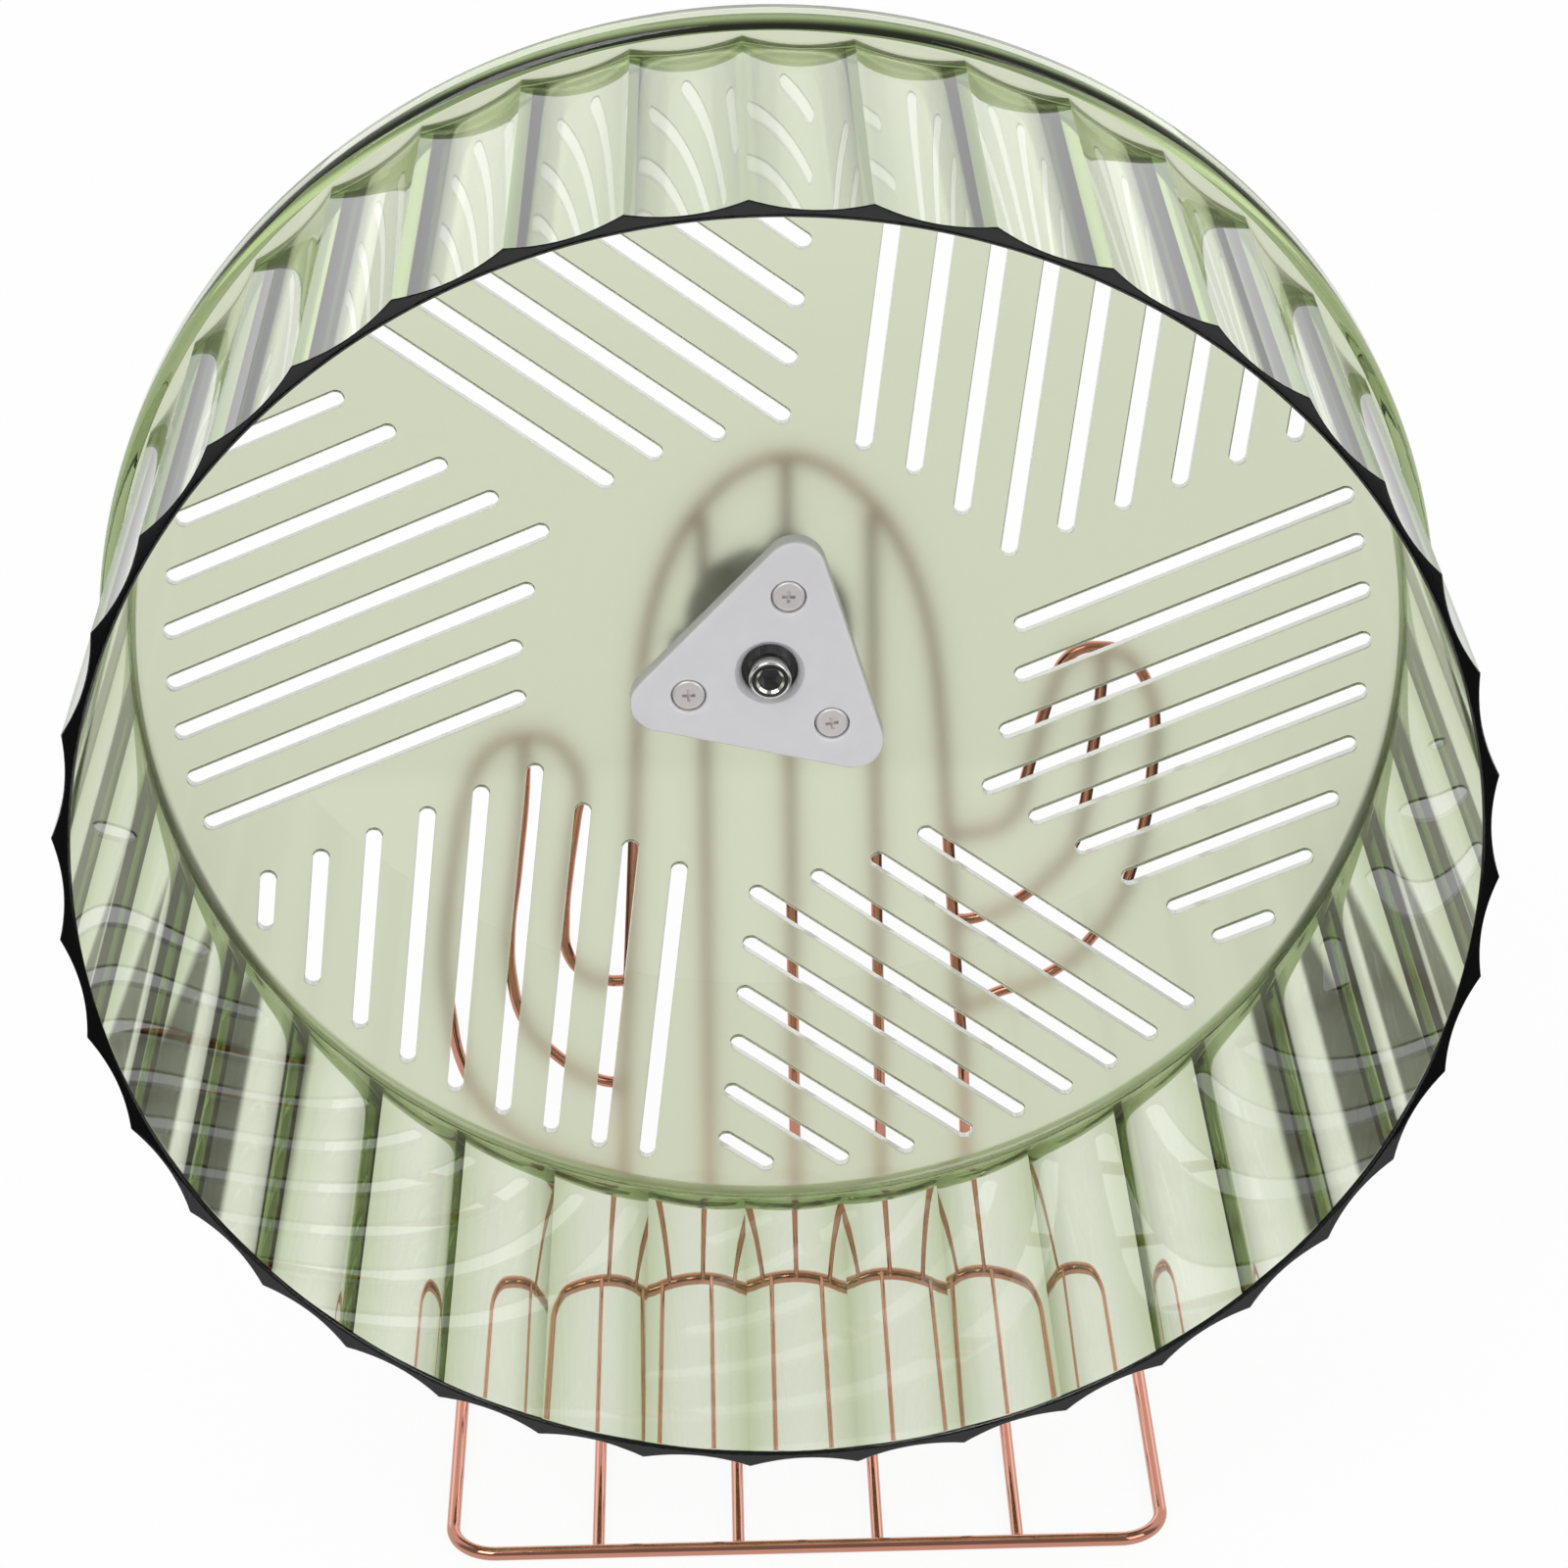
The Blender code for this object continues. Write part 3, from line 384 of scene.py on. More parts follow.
def makeSlotCutter():
    # one group of nine slots is modelled, then copied round the axle
    sizes = slotSizes
    half = sizes["width"] / 2
    sector = fullTurn / sizes["groups"]
    rear = drumSizes["discThickness"]
    # rounded lips at both faces
    frontCentre = (sizes["throat"] + sizes["frontLip"], sizes["frontLip"])
    rearCentre = (sizes["throat"] + sizes["rearLip"], rear - sizes["rearLip"])
    profile = [(frontCentre[0], -cutMargin)]
    profile += arcPoints(frontCentre, sizes["frontLip"], -quarterTurn, -halfTurn, sizes["frontSteps"])
    profile += arcPoints(rearCentre, sizes["rearLip"], halfTurn, quarterTurn, sizes["rearSteps"])
    profile.append((rearCentre[0], rear + cutMargin))
    slots = []
    for number in range(sizes["perGroup"]):
        across = sizes["firstOffset"] + sizes["spacing"] * number
        outer = math.sqrt(sizes["outerRadius"] ** 2 - across ** 2) - half
        inner = (sizes["endOffset"] + across * math.cos(sector)) / math.sin(sector)
        if across < sizes["innerRadius"]:
            inner = max(inner, math.sqrt(sizes["innerRadius"] ** 2 - across ** 2))
        inner += half
        slot = turnPiece("slotCutter", profile, sizes["steps"], closed=False,
                         startAngle=halfTurn / sizes["steps"])
        bpy.ops.object.mode_set(mode='EDIT')
        bpy.ops.mesh.select_all(action='SELECT')
        bpy.ops.transform.translate(value=(inner, 0, -across))
        selectWhere(slot, "verts", lambda vertex: vertex.co.x > inner)
        bpy.ops.transform.translate(value=(outer - inner, 0, 0))
        bpy.ops.object.mode_set(mode='OBJECT')
        slots.append(slot)
    group = joinPieces("slotGroup", slots)
    groups = [group]
    for number in range(1, sizes["groups"]):
        copied = copyPiece(group, "slotGroup")
        copied.data.transform(Matrix.Rotation(sector * number, 4, 'Y'))
        groups.append(copied)
    cutter = joinPieces("slotCutters", groups)
    cutter.data.transform(Matrix.Rotation(-sizes["turn"], 4, 'Y'))
    return cutter


def drillDisc(drum, radius, steps, across=0.0, up=0.0):
    bpy.ops.object.select_all(action='DESELECT')
    bpy.ops.mesh.primitive_cylinder_add(vertices=steps, radius=radius, depth=4 * drumSizes["discThickness"],
                                        location=(across, 0, up), rotation=(quarterTurn, 0, 0))
    cutWith(drum, freshPiece("holeCutter"))


def makeDrum():
    sizes = drumSizes
    skirtInner = sizes["flangeRadius"] - sizes["skirtThickness"]
    edge, chamfer, flangeRound = sizes["edgeRound"], sizes["rimChamfer"], sizes["flangeRound"]
    rearRidge = sizes["ridgeRadius"] - sizes["draft"]
    rearInner = sizes["innerRadius"] - sizes["draft"]
    front = -sizes["depth"]
    rimRound, fillet = sizes["rimRound"], sizes["discFillet"]
    plain = [(skirtInner, sizes["discThickness"])]
    plain += arcPoints((skirtInner + edge, sizes["skirtDepth"] - edge), edge, halfTurn, quarterTurn,
                       sizes["edgeSteps"])
    plain += arcPoints((sizes["flangeRadius"] - edge, sizes["skirtDepth"] - edge), edge, quarterTurn, 0,
                       sizes["edgeSteps"])
    plain += arcPoints((sizes["flangeRadius"] - flangeRound, flangeRound), flangeRound, 0, -quarterTurn,
                       sizes["flangeSteps"])
    fluted = [(rearRidge + sizes["rearChamfer"], 0.0), (rearRidge, -sizes["rearChamfer"]),
              (sizes["ridgeRadius"], front + chamfer), (sizes["ridgeRadius"] - chamfer, front)]
    inner = arcPoints((sizes["innerRadius"] + rimRound, front + rimRound), rimRound, -quarterTurn, -halfTurn,
                      sizes["rimSteps"])
    inner += arcPoints((rearInner - fillet, -fillet), fillet, 0, quarterTurn, sizes["filletSteps"])
    shapes = [flatRadius] * len(plain) + [fluteRadius] * len(fluted) + [flatRadius] * len(inner)
    steps = sizes["flutes"] * sizes["stepsPerFlute"]
    drum = turnPiece("clearDrum", plain + fluted + inner, steps, closed=False, startAngle=sizes["ridgeAngle"],
                     shapes=shapes)
    cutWith(drum, makeSlotCutter())
    drillDisc(drum, hubSizes["discHoleRadius"], hubSizes["boreSteps"])
    for angle in screwAngles():
        drillDisc(drum, screwSizes["radius"] + hubSizes["gap"], screwSizes["holeSteps"],
                  *polar(screwSizes["pitch"], angle))
    finishPiece(drum, "wheel", ["drum"], clearGreen, axlePlace)


# hub plate, screws and bearing housing
hubSizes = {"gap": 0.0003, "plateThickness": 0.0045, "cornerPitch": 0.0226, "cornerRadius": 0.0061,
            "cornerSteps": 24, "frontRound": 0.0005, "frontSteps": 6, "rearRound": 0.0003, "rearSteps": 2,
            "holeRadius": 0.0067, "lipRadius": 0.0056, "lipDepth": 0.0016, "holeRound": 0.0005, "holeSteps": 6,
            "discHoleRadius": 0.0096, "boreSteps": 64, "housingRadius": 0.0168, "bossSteps": 28,
            "housingLength": 0.020, "housingRound": 0.0008, "roundSteps": 4, "earRadius": 0.004,
            "earSteps": 16, "spigotRadius": 0.0093, "seatRadius": 0.00665, "shoulderRadius": 0.00585}
screwSizes = {"count": 3, "angle": math.radians(76.5), "pitch": 0.0168, "radius": 0.0015, "length": 0.0115,
              "holeSteps": 24, "steps": 32, "tipShare": 0.8, "tipLength": 0.0003, "headRadius": 0.0033,
              "headHeight": 0.0019, "headRound": 0.0007, "headSteps": 5, "boreRadius": 0.0035,
              "boreDepth": 0.0026, "recessReach": 0.0032, "recessWidth": 0.0008, "recessDepth": 0.0011,
              "recessTaper": 0.62, "recessTurn": 2.3}
levelSlack = 0.00001
sharpAngle = 0.7  # edges that turn by less than this stay as they are


def screwAngles():
    count = screwSizes["count"]
    return [screwSizes["angle"] + fullTurn * number / count for number in range(count)]


def bevelLevel(piece, level, width, segments):
    # rounds the sharp edges that lie at one distance along the axle
    pickOnly(piece)
    bpy.ops.object.mode_set(mode='EDIT')
    bpy.ops.mesh.select_mode(type='EDGE')

    def onLevel(edge):
        flat = all(abs(vertex.co.y - level) < levelSlack for vertex in edge.verts)
        return flat and len(edge.link_faces) == 2 and edge.calc_face_angle() > sharpAngle
    selectWhere(piece, "edges", onLevel)
    bpy.ops.mesh.bevel(offset=width, segments=segments, affect='EDGES')
    bpy.ops.object.mode_set(mode='OBJECT')


def steppedHole(radius, floor, floorRadius, mouthRadius, front, rear):
    # profile of a cutter that flares at the front, so that the hole has a soft edge
    soft = hubSizes["holeRound"]
    profile = [(radius, rear + cutMargin), (radius, floor), (floorRadius, floor)]
    profile += arcPoints((mouthRadius + soft, front + soft), soft, halfTurn, 3 * quarterTurn,
                         hubSizes["holeSteps"])
    return profile + [(mouthRadius + soft, front - cutMargin)]


def makeHubPlate():
    sizes = hubSizes
    rear = -sizes["gap"]
    front = rear - sizes["plateThickness"]
    outline = []
    for angle in screwAngles():
        outline += arcPoints(polar(sizes["cornerPitch"], angle), sizes["cornerRadius"], angle - halfTurn / 3,
                             angle + halfTurn / 3, sizes["cornerSteps"])
    plate = outlinePiece("hubPlate", outline, front, rear)
    bevelLevel(plate, front, sizes["frontRound"], sizes["frontSteps"])
    bevelLevel(plate, rear, sizes["rearRound"], sizes["rearSteps"])
    bore = steppedHole(sizes["seatRadius"], front + sizes["lipDepth"], sizes["lipRadius"], sizes["holeRadius"],
                       front, rear)
    cutWith(plate, turnPiece("boreCutter", bore, sizes["boreSteps"], closed=False))
    counterbore = steppedHole(screwSizes["radius"] + sizes["gap"], front + screwSizes["boreDepth"],
                              screwSizes["boreRadius"], screwSizes["boreRadius"], front, rear)
    for angle in screwAngles():
        across, up = polar(screwSizes["pitch"], angle)
        cutter = turnPiece("counterboreCutter", counterbore, screwSizes["steps"], closed=False)
        cutter.location = (across, 0, up)
        cutWith(plate, cutter)
    finishPiece(plate, "wheel", ["hub_plate"], milkyPlastic, axlePlace)


def makeHubScrews():
    sizes = screwSizes
    boreFloor = -hubSizes["gap"] - hubSizes["plateThickness"] + sizes["boreDepth"]
    headFront = boreFloor - hubSizes["gap"] - sizes["headHeight"]
    headRear = headFront + sizes["headHeight"]
    tip = headRear + sizes["length"]
    profile = [(sizes["radius"] * sizes["tipShare"], tip), (sizes["radius"], tip - sizes["tipLength"]),
               (sizes["radius"], headRear), (sizes["headRadius"], headRear)]
    for step in range(sizes["headSteps"] + 1):
        angle = quarterTurn * step / sizes["headSteps"]
        profile.append((sizes["headRadius"] - sizes["headRound"] * (1 - math.cos(angle)),
                        headFront + sizes["headRound"] * (1 - math.sin(angle))))
    for number, angle in enumerate(screwAngles(), 1):
        screw = turnPiece(f"hubScrew{number}", profile, sizes["steps"], closed=False)
        for turn in (0, quarterTurn):
            bpy.ops.object.select_all(action='DESELECT')
            bpy.ops.mesh.primitive_cube_add(size=1, location=(0, headFront, 0), rotation=(0, turn, 0),
                                            scale=(sizes["recessReach"], 2 * sizes["recessDepth"],
                                                   sizes["recessWidth"]))
            arm = freshPiece("recessArm")
            bpy.ops.object.transform_apply(location=True, rotation=True, scale=True)
            # the arms taper towards the recess's floor
            for vertex in arm.data.vertices:
                if vertex.co.y > headFront:
                    vertex.co.x *= sizes["recessTaper"]
                    vertex.co.z *= sizes["recessTaper"]
            cutWith(screw, arm)
        # every recess stands at another angle
        screw.data.transform(Matrix.Rotation(-angle * sizes["recessTurn"], 4, 'Y'))
        across, up = polar(sizes["pitch"], angle)
        place = axlePlace + Vector((across, 0, up))
        finishPiece(screw, "wheel", [f"hub_screw_{number}"], paleSteel, place)


def makeHousing():
    # dark boss behind the disc with an ear for each screw
    sizes = hubSizes
    pitch, boss, ear = screwSizes["pitch"], sizes["housingRadius"], sizes["earRadius"]
    earHalf = halfTurn - math.acos((pitch ** 2 + ear ** 2 - boss ** 2) / (2 * pitch * ear))
    bossStart = math.acos((pitch ** 2 + boss ** 2 - ear ** 2) / (2 * pitch * boss))
    bossEnd = fullTurn / screwSizes["count"] - bossStart
    outline = []
    for angle in screwAngles():
        outline += arcPoints(polar(pitch, angle), ear, angle - earHalf, angle + earHalf, sizes["earSteps"])
        outline += arcPoints((0, 0), boss, angle + bossStart, angle + bossEnd, sizes["bossSteps"])[1:-1]
    rear = sizes["housingLength"]
    housing = outlinePiece("bearingHousing", outline, drumSizes["discThickness"] + sizes["gap"], rear)
    bevelLevel(housing, rear, sizes["housingRound"], sizes["roundSteps"])
    spigot = [(sizes["spigotRadius"], rear / 2), (sizes["spigotRadius"], 0.0)]
    cutWith(housing, turnPiece("spigotBlank", spigot, sizes["boreSteps"], closed=False), 'UNION')
    # a seat for a bearing at each end, with a shoulder between them
    seat, shoulder = sizes["seatRadius"], sizes["shoulderRadius"]
    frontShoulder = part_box("bearing_spacer")[0].y - axlePlace.y
    rearShoulder = rear - bearingSizes["width"] - sizes["gap"]
    bore = [(seat, rear + cutMargin), (seat, rearShoulder), (shoulder, rearShoulder),
            (shoulder, frontShoulder), (seat, frontShoulder), (seat, -cutMargin)]
    cutWith(housing, turnPiece("boreCutter", bore, sizes["boreSteps"], closed=False))
    finishPiece(housing, "wheel", ["bearing_housing"], darkPlastic, axlePlace)


# bearings, axle screw and what it clamps
bearingSizes = {"radius": 0.0065, "width": 0.004, "boreRadius": 0.00265, "innerLand": 0.0037,
                "outerLand": 0.0053, "ballPitch": 0.0045, "balls": 7, "grooveRadius": 0.0011,
                "grooveSteps": 8, "edge": 0.0002, "innerSteps": 48, "outerSteps": 64, "shieldSink": 0.0003,
                "shieldThickness": 0.00015, "shieldPress": 0.00005, "shieldGap": 0.0002}
boltSizes = {"radius": 0.0025, "tipChamfer": 0.0004, "headRadius": 0.00425, "headHeight": 0.005,
             "headRound": 0.00055, "headSteps": 5, "faceRadius": 0.00285, "coneDepth": 0.0004,
             "coneRadius": 0.00231, "socketFlats": 0.004, "socketDepth": 0.0025, "knurlSteps": 48,
             "knurlDepth": 0.00009, "knurlEnds": 0.0007, "knurlStep": 0.0001, "flatNormal": -0.99}
sleeveSizes = {"edge": 0.0003, "steps": 48, "bushingSteps": 64}
nutSizes = {"faceShare": 0.86, "blankShare": 1.02, "chamfer": 0.0007, "margin": 0.0001, "steps": 48}


def grooveSection(land, side, front):
    # the ball groove in a land; side is 1 where it opens inwards
    sizes = bearingSizes
    middle = front + sizes["width"] / 2
    reach = math.acos(min(1.0, abs(sizes["ballPitch"] - land) / sizes["grooveRadius"]))
    points = []
    for step in range(sizes["grooveSteps"] + 1):
        out, along = polar(sizes["grooveRadius"], -reach + 2 * reach * step / sizes["grooveSteps"])
        points.append((sizes["ballPitch"] + side * out, middle + along))
    return points


def makeBearing(side):
    sizes = bearingSizes
    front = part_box(f"{side}_inner_ring")[0].y - axlePlace.y
    rear = front + sizes["width"]
    edge, bore, radius = sizes["edge"], sizes["boreRadius"], sizes["radius"]
    innerLand, outerLand = sizes["innerLand"], sizes["outerLand"]
    inner = [(bore, rear - edge), (bore, front + edge), (bore + edge, front), (innerLand, front)]
    inner += grooveSection(innerLand, -1, front) + [(innerLand, rear), (bore + edge, rear)]
    outer = [(radius, front + edge), (radius, rear - edge), (radius - edge, rear), (outerLand, rear)]
    outer += grooveSection(outerLand, 1, front)[::-1] + [(outerLand, front), (radius - edge, front)]
    innerRing = turnPiece(f"{side}InnerRing", inner, sizes["innerSteps"])
    finishPiece(innerRing, "stand", [f"{side}_inner_ring"], brightSteel, axlePlace)
    outerRing = turnPiece(f"{side}OuterRing", outer, sizes["outerSteps"])
    # the outer ring takes the dark steel: painted shade deep in the plate's bore
    finishPiece(outerRing, "wheel", [f"{side}_outer_ring"], darkSteel, axlePlace)
    # thin shield pressed into the outer ring, clear of the inner ring
    shieldFront = front + sizes["shieldSink"]
    if side == "rear":
        shieldFront = rear - sizes["shieldSink"] - sizes["shieldThickness"]
    shieldRear = shieldFront + sizes["shieldThickness"]
    shieldOuter, shieldInner = outerLand - sizes["shieldPress"], innerLand + sizes["shieldGap"]
    shield = [(shieldOuter, shieldRear), (shieldOuter, shieldFront),
              (shieldInner, shieldFront), (shieldInner, shieldRear)]
    shieldRing = turnPiece(f"{side}Shield", shield, sizes["innerSteps"])
    # the shield takes the dark steel as well: painted shade in the bore
    finishPiece(shieldRing, "wheel", [], darkSteel, axlePlace)


def hexOutline(flats):
    return arcPoints((0, 0), flats / math.sqrt(3), 0, fullTurn, 6)[:-1]


def knurlRadius(angle, radius, along):
    # fine straight knurl round the screw's head
    step = round(angle / (halfTurn / boltSizes["knurlSteps"]))
    return radius - boltSizes["knurlDepth"] * (step % 2)


def makeAxleBolt():
    sizes = boltSizes
    low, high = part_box("axle_bolt")
    tail = high.y - axlePlace.y
    headFront = low.y - axlePlace.y
    headRear = headFront + sizes["headHeight"]
    radius, chamfer = sizes["radius"], sizes["tipChamfer"]
    headRadius, step = sizes["headRadius"], sizes["knurlStep"]
    knurlFront, knurlRear = headFront + sizes["knurlEnds"], headRear + sizes["knurlEnds"]
    shank = [(radius - chamfer, tail), (radius, tail - chamfer), (radius, headRear),
             (headRadius - 2 * step, headRear), (headRadius - step, headRear + step),
             (headRadius - step, knurlRear)]
    knurl = [(headRadius, knurlRear + step), (headRadius, knurlFront + step)]
    crown = [(headRadius - step, knurlFront)]
    crown += arcPoints((headRadius - step - sizes["headRound"], headFront + sizes["headRound"]),
                       sizes["headRound"], 0, -quarterTurn, sizes["headSteps"])
    crown += [(sizes["faceRadius"], headFront), (sizes["coneRadius"], headFront + sizes["coneDepth"])]
    shapes = [flatRadius] * len(shank) + [knurlRadius] * len(knurl) + [flatRadius] * len(crown)
    bolt = turnPiece("axleScrew", shank + knurl + crown, 2 * sizes["knurlSteps"], closed=False, shapes=shapes)
    socket = outlinePiece("socketCutter", hexOutline(sizes["socketFlats"]), headFront - cutMargin,
                          headFront + sizes["socketDepth"])
    cutWith(bolt, socket)
    finishPiece(bolt, "stand", ["axle_bolt"], brightSteel, axlePlace)
    # flat of the head and floor of its socket take the dark steel, darker than the rings round them: a painted
    # dark reflection on the flat and painted shade in the socket
    bolt.data.materials.append(darkSteel)
    for face in bolt.data.polygons:
        if face.normal.y < sizes["flatNormal"] and face.center.y < headRear + axlePlace.y:
            face.material_index = 1


def makeSleeve(node, finish, steps):
    low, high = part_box(node)
    front, rear = low.y - axlePlace.y, high.y - axlePlace.y
    outer, bore, edge = (high.z - low.z) / 2, bearingSizes["boreRadius"], sleeveSizes["edge"]
    section = [(outer, rear - edge), (outer, front + edge), (outer - edge, front),
               (bore, front), (bore, rear), (outer - edge, rear)]
    sleeve = turnPiece(node.replace("_", ""), section, steps)
    finishPiece(sleeve, "stand", [node], finish, axlePlace)


def makeNut():
    # hexagon nut with its corners turned off
    sizes = nutSizes
    low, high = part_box("axle_nut")
    front, rear = low.y - axlePlace.y, high.y - axlePlace.y
    nut = outlinePiece("axleNut", hexOutline(high.z - low.z), front, rear)
    turned = (high.x - low.x) / 2
    face, wide = turned * sizes["faceShare"], turned * sizes["blankShare"]
    blank = [(face, rear + sizes["margin"]), (wide, rear - sizes["chamfer"]),
             (wide, front + sizes["chamfer"]), (face, front - sizes["margin"])]
    cutWith(nut, turnPiece("nutBlank", blank, sizes["steps"], closed=False), 'INTERSECT')
    bore = [(bearingSizes["boreRadius"], rear + cutMargin), (bearingSizes["boreRadius"], front - cutMargin)]
    cutWith(nut, turnPiece("nutBore", bore, sizes["steps"], closed=False))
    finishPiece(nut, "stand", ["axle_nut"], brightSteel, axlePlace)


# wire stand
standSizes = {"loopRadius": 0.0014, "wireRadius": 0.00125, "halfWidth": 0.0722, "cornerRadius": 0.009,
              "cornerSteps": 12, "curveSteps": 6, "bevelSteps": 5, "gap": 0.0003, "bury": 0.0006,
              "trunkHeight": 0.2006, "trunkHalfWidth": 0.038, "ribFoot": 0.019, "ribTop": 0.017,
              "barOffsets": (-0.0425, -0.0141, 0.0141, 0.0425)}
trunkShares = [(1.0, 0.0), (0.978, 0.165), (0.958, 0.284), (0.921, 0.385), (0.853, 0.60), (0.822, 0.70),
               (0.77, 0.795), (0.71, 0.846), (0.629, 0.89), (0.505, 0.934), (0.368, 0.965), (0.20, 0.99),
               (0.0, 1.0)]
armSizes = {
    "left": {
        "sign": -1, "height": 0.0298, "rise": 0.1091, "reach": 0.0391,
        "loopShares": [(0.0, 0.0), (0.06, 0.003), (0.25, 0.035), (0.48, 0.08), (0.66, 0.135), (0.80, 0.20),
                       (0.90, 0.28), (0.96, 0.38), (1.0, 0.50), (0.985, 0.64), (0.95, 0.76), (0.90, 0.87),
                       (0.80, 0.96), (0.68, 0.995), (0.58, 1.0), (0.45, 0.995), (0.33, 0.955), (0.265, 0.89),
                       (0.285, 0.82), (0.32, 0.70), (0.335, 0.60), (0.31, 0.52), (0.22, 0.475), (0.08, 0.455),
                       (0.0, 0.454)],
        "ribShares": [(0.575, 0.93), (0.61, 0.70), (0.64, 0.57), (0.625, 0.47), (0.54, 0.365), (0.38, 0.295),
                      (0.20, 0.245), (0.06, 0.222), (0.0, 0.221)]},
    "right": {
        "sign": 1, "height": 0.0722, "rise": 0.0841, "reach": 0.0443,
        "loopShares": [(0.0, 0.0), (0.05, 0.003), (0.18, 0.03), (0.33, 0.055), (0.50, 0.105), (0.66, 0.19),
                       (0.79, 0.29), (0.87, 0.40), (0.94, 0.53), (0.98, 0.67), (1.0, 0.80), (0.985, 0.88),
                       (0.93, 0.95), (0.86, 0.99), (0.77, 1.0), (0.67, 0.995), (0.59, 0.965), (0.53, 0.91),
                       (0.47, 0.83), (0.41, 0.73), (0.36, 0.64), (0.31, 0.56), (0.22, 0.515), (0.08, 0.498),
                       (0.0, 0.497)],
        "ribShares": [(0.755, 0.90), (0.72, 0.80), (0.68, 0.68), (0.64, 0.56), (0.565, 0.44), (0.44, 0.365),
                      (0.30, 0.30), (0.16, 0.262), (0.05, 0.243), (0.0, 0.242)]}}
weldPlaces = []  # place and axis of each bead, gathered while the wires are made


def makeWire(name, node, points, radius, closed=False, smooth=True):
    # a bezier curve through the points, given the wire's thickness and made a mesh
    bpy.ops.object.select_all(action='DESELECT')
    bpy.ops.curve.primitive_bezier_curve_add()
    wire = freshPiece(name)
    curve = wire.data
    curve.dimensions = '3D'
    spline = curve.splines[0]
    spline.bezier_points.add(len(points) - 2)
    spline.use_cyclic_u = closed
    kind = 'AUTO' if smooth else 'VECTOR'
    for point, place in zip(spline.bezier_points, points):
        point.co = place
        point.handle_left_type = kind
        point.handle_right_type = kind
    curve.resolution_u = standSizes["curveSteps"] if smooth else 1
    curve.bevel_depth = radius
    curve.bevel_resolution = standSizes["bevelSteps"]
    curve.use_fill_caps = not closed
    pickOnly(wire)
    bpy.ops.object.convert(target='MESH')
    wire = bpy.context.active_object
    bpy.ops.object.mode_set(mode='EDIT')
    tidyMesh()
    finishPiece(wire, "stand", [node], copperWire)


def trunkSide():
    # right half of the trunk's outline from foot to top, measured from the trunk's middle
    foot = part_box("trunk_arch")[0].z
    rise = standSizes["trunkHeight"] - foot
    return [(width * standSizes["trunkHalfWidth"], foot + up * rise) for width, up in trunkShares]


def legDistance(height):
    # how far the trunk's leg stands from the trunk's middle
    side = trunkSide()
    for (lowX, lowZ), (highX, highZ) in zip(side, side[1:]):
        if lowZ <= height <= highZ:
            return lowX + (highX - lowX) * (height - lowZ) / (highZ - lowZ)
    return side[0][0]


def buried(points):
    # runs both ends on into the wires that carry them
    points = [Vector(point) for point in points]
    amount = standSizes["gap"] + standSizes["bury"]
    first = points[0] + (points[0] - points[1]).normalized() * amount
    last = points[-1] + (points[-1] - points[-2]).normalized() * amount
    return [first] + points[1:-1] + [last]


def makeBase():
    sizes = standSizes
    low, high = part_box("base_loop")
    loopRadius, corner = sizes["loopRadius"], sizes["cornerRadius"]
    rearY = high.y - loopRadius
    frontY = low.y + loopRadius
    reachX = sizes["halfWidth"] - corner
    corners = [(1, rearY - corner), (-1, rearY - corner), (-1, frontY + corner), (1, frontY + corner)]
    loop = []
    for number, (sideX, cornerY) in enumerate(corners):
        start = number * quarterTurn
        loop += arcPoints((standX + sideX * reachX, cornerY), corner, start, start + quarterTurn,
                          sizes["cornerSteps"])
    makeWire("baseLoop", "base_loop", [(x, y, loopRadius) for x, y in loop], loopRadius, closed=True,
             smooth=False)
    for number, offset in enumerate(sizes["barOffsets"], 1):
        ends = [(standX + offset, rearY - loopRadius + sizes["bury"], loopRadius),
                (standX + offset, frontY + loopRadius - sizes["bury"], loopRadius)]
        makeWire(f"baseBar{number}", f"base_bar_{number}", ends, sizes["wireRadius"], smooth=False)
        weldPlaces.extend((Vector(end), 'Y') for end in ends)


def makeTrunk():
    sizes = standSizes
    side = trunkSide()
    outline = [(-across, up) for across, up in side] + side[-2::-1]
    points = buried([(standX + across, trunkY, up) for across, up in outline])
    makeWire("trunkArch", "trunk_arch", points, sizes["wireRadius"])
    weldPlaces.extend([(points[0], 'Z'), (points[-1], 'Z')])
    for sign, name, node in ((-1, "trunkRibLeft", "trunk_rib_left"), (0, "trunkRibCentre", "trunk_rib_centre"),
                             (1, "trunkRibRight", "trunk_rib_right")):
        low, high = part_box(node)
        ends = buried([(standX + sign * sizes["ribFoot"], trunkY, low.z),
                       (standX + sign * sizes["ribTop"], trunkY, high.z)])
        makeWire(name, node, ends, sizes["wireRadius"], smooth=False)
        weldPlaces.extend((end, 'Z') for end in ends)


def makeArms():
    sizes = standSizes
    seat = sizes["wireRadius"] + sizes["gap"]
    for side, arm in armSizes.items():
        paths = {}
        for kind in ("loopShares", "ribShares"):
            points = []
            for out, up in arm[kind]:
                level = arm["height"] + up * arm["rise"]
                distance = legDistance(level) + seat + out * (arm["reach"] - seat)
                points.append((standX + arm["sign"] * distance, trunkY, level))
            paths[kind] = points
        # the rib starts straight below the loop's top
        top = arm["height"] + arm["rise"] - sizes["wireRadius"]
        paths["ribShares"].insert(0, (paths["ribShares"][0][0], trunkY, top - 2 * sizes["gap"]))
        for kind, name, node, startAxis in (("loopShares", f"{side}ArmLoop", f"{side}_arm_loop", 'X'),
                                            ("ribShares", f"{side}ArmRib", f"{side}_arm_rib", 'Z')):
            points = buried(paths[kind])
            makeWire(name, node, points, sizes["wireRadius"])
            weldPlaces.extend([(points[-1], 'X'), (points[0], startAxis)])


weldSizes = {"along": 0.0011, "across": 0.00165, "jitter": 0.00012, "segments": 20, "rings": 12,
             "softness": 0.5, "softenings": 2, "smoothAngle": 80}


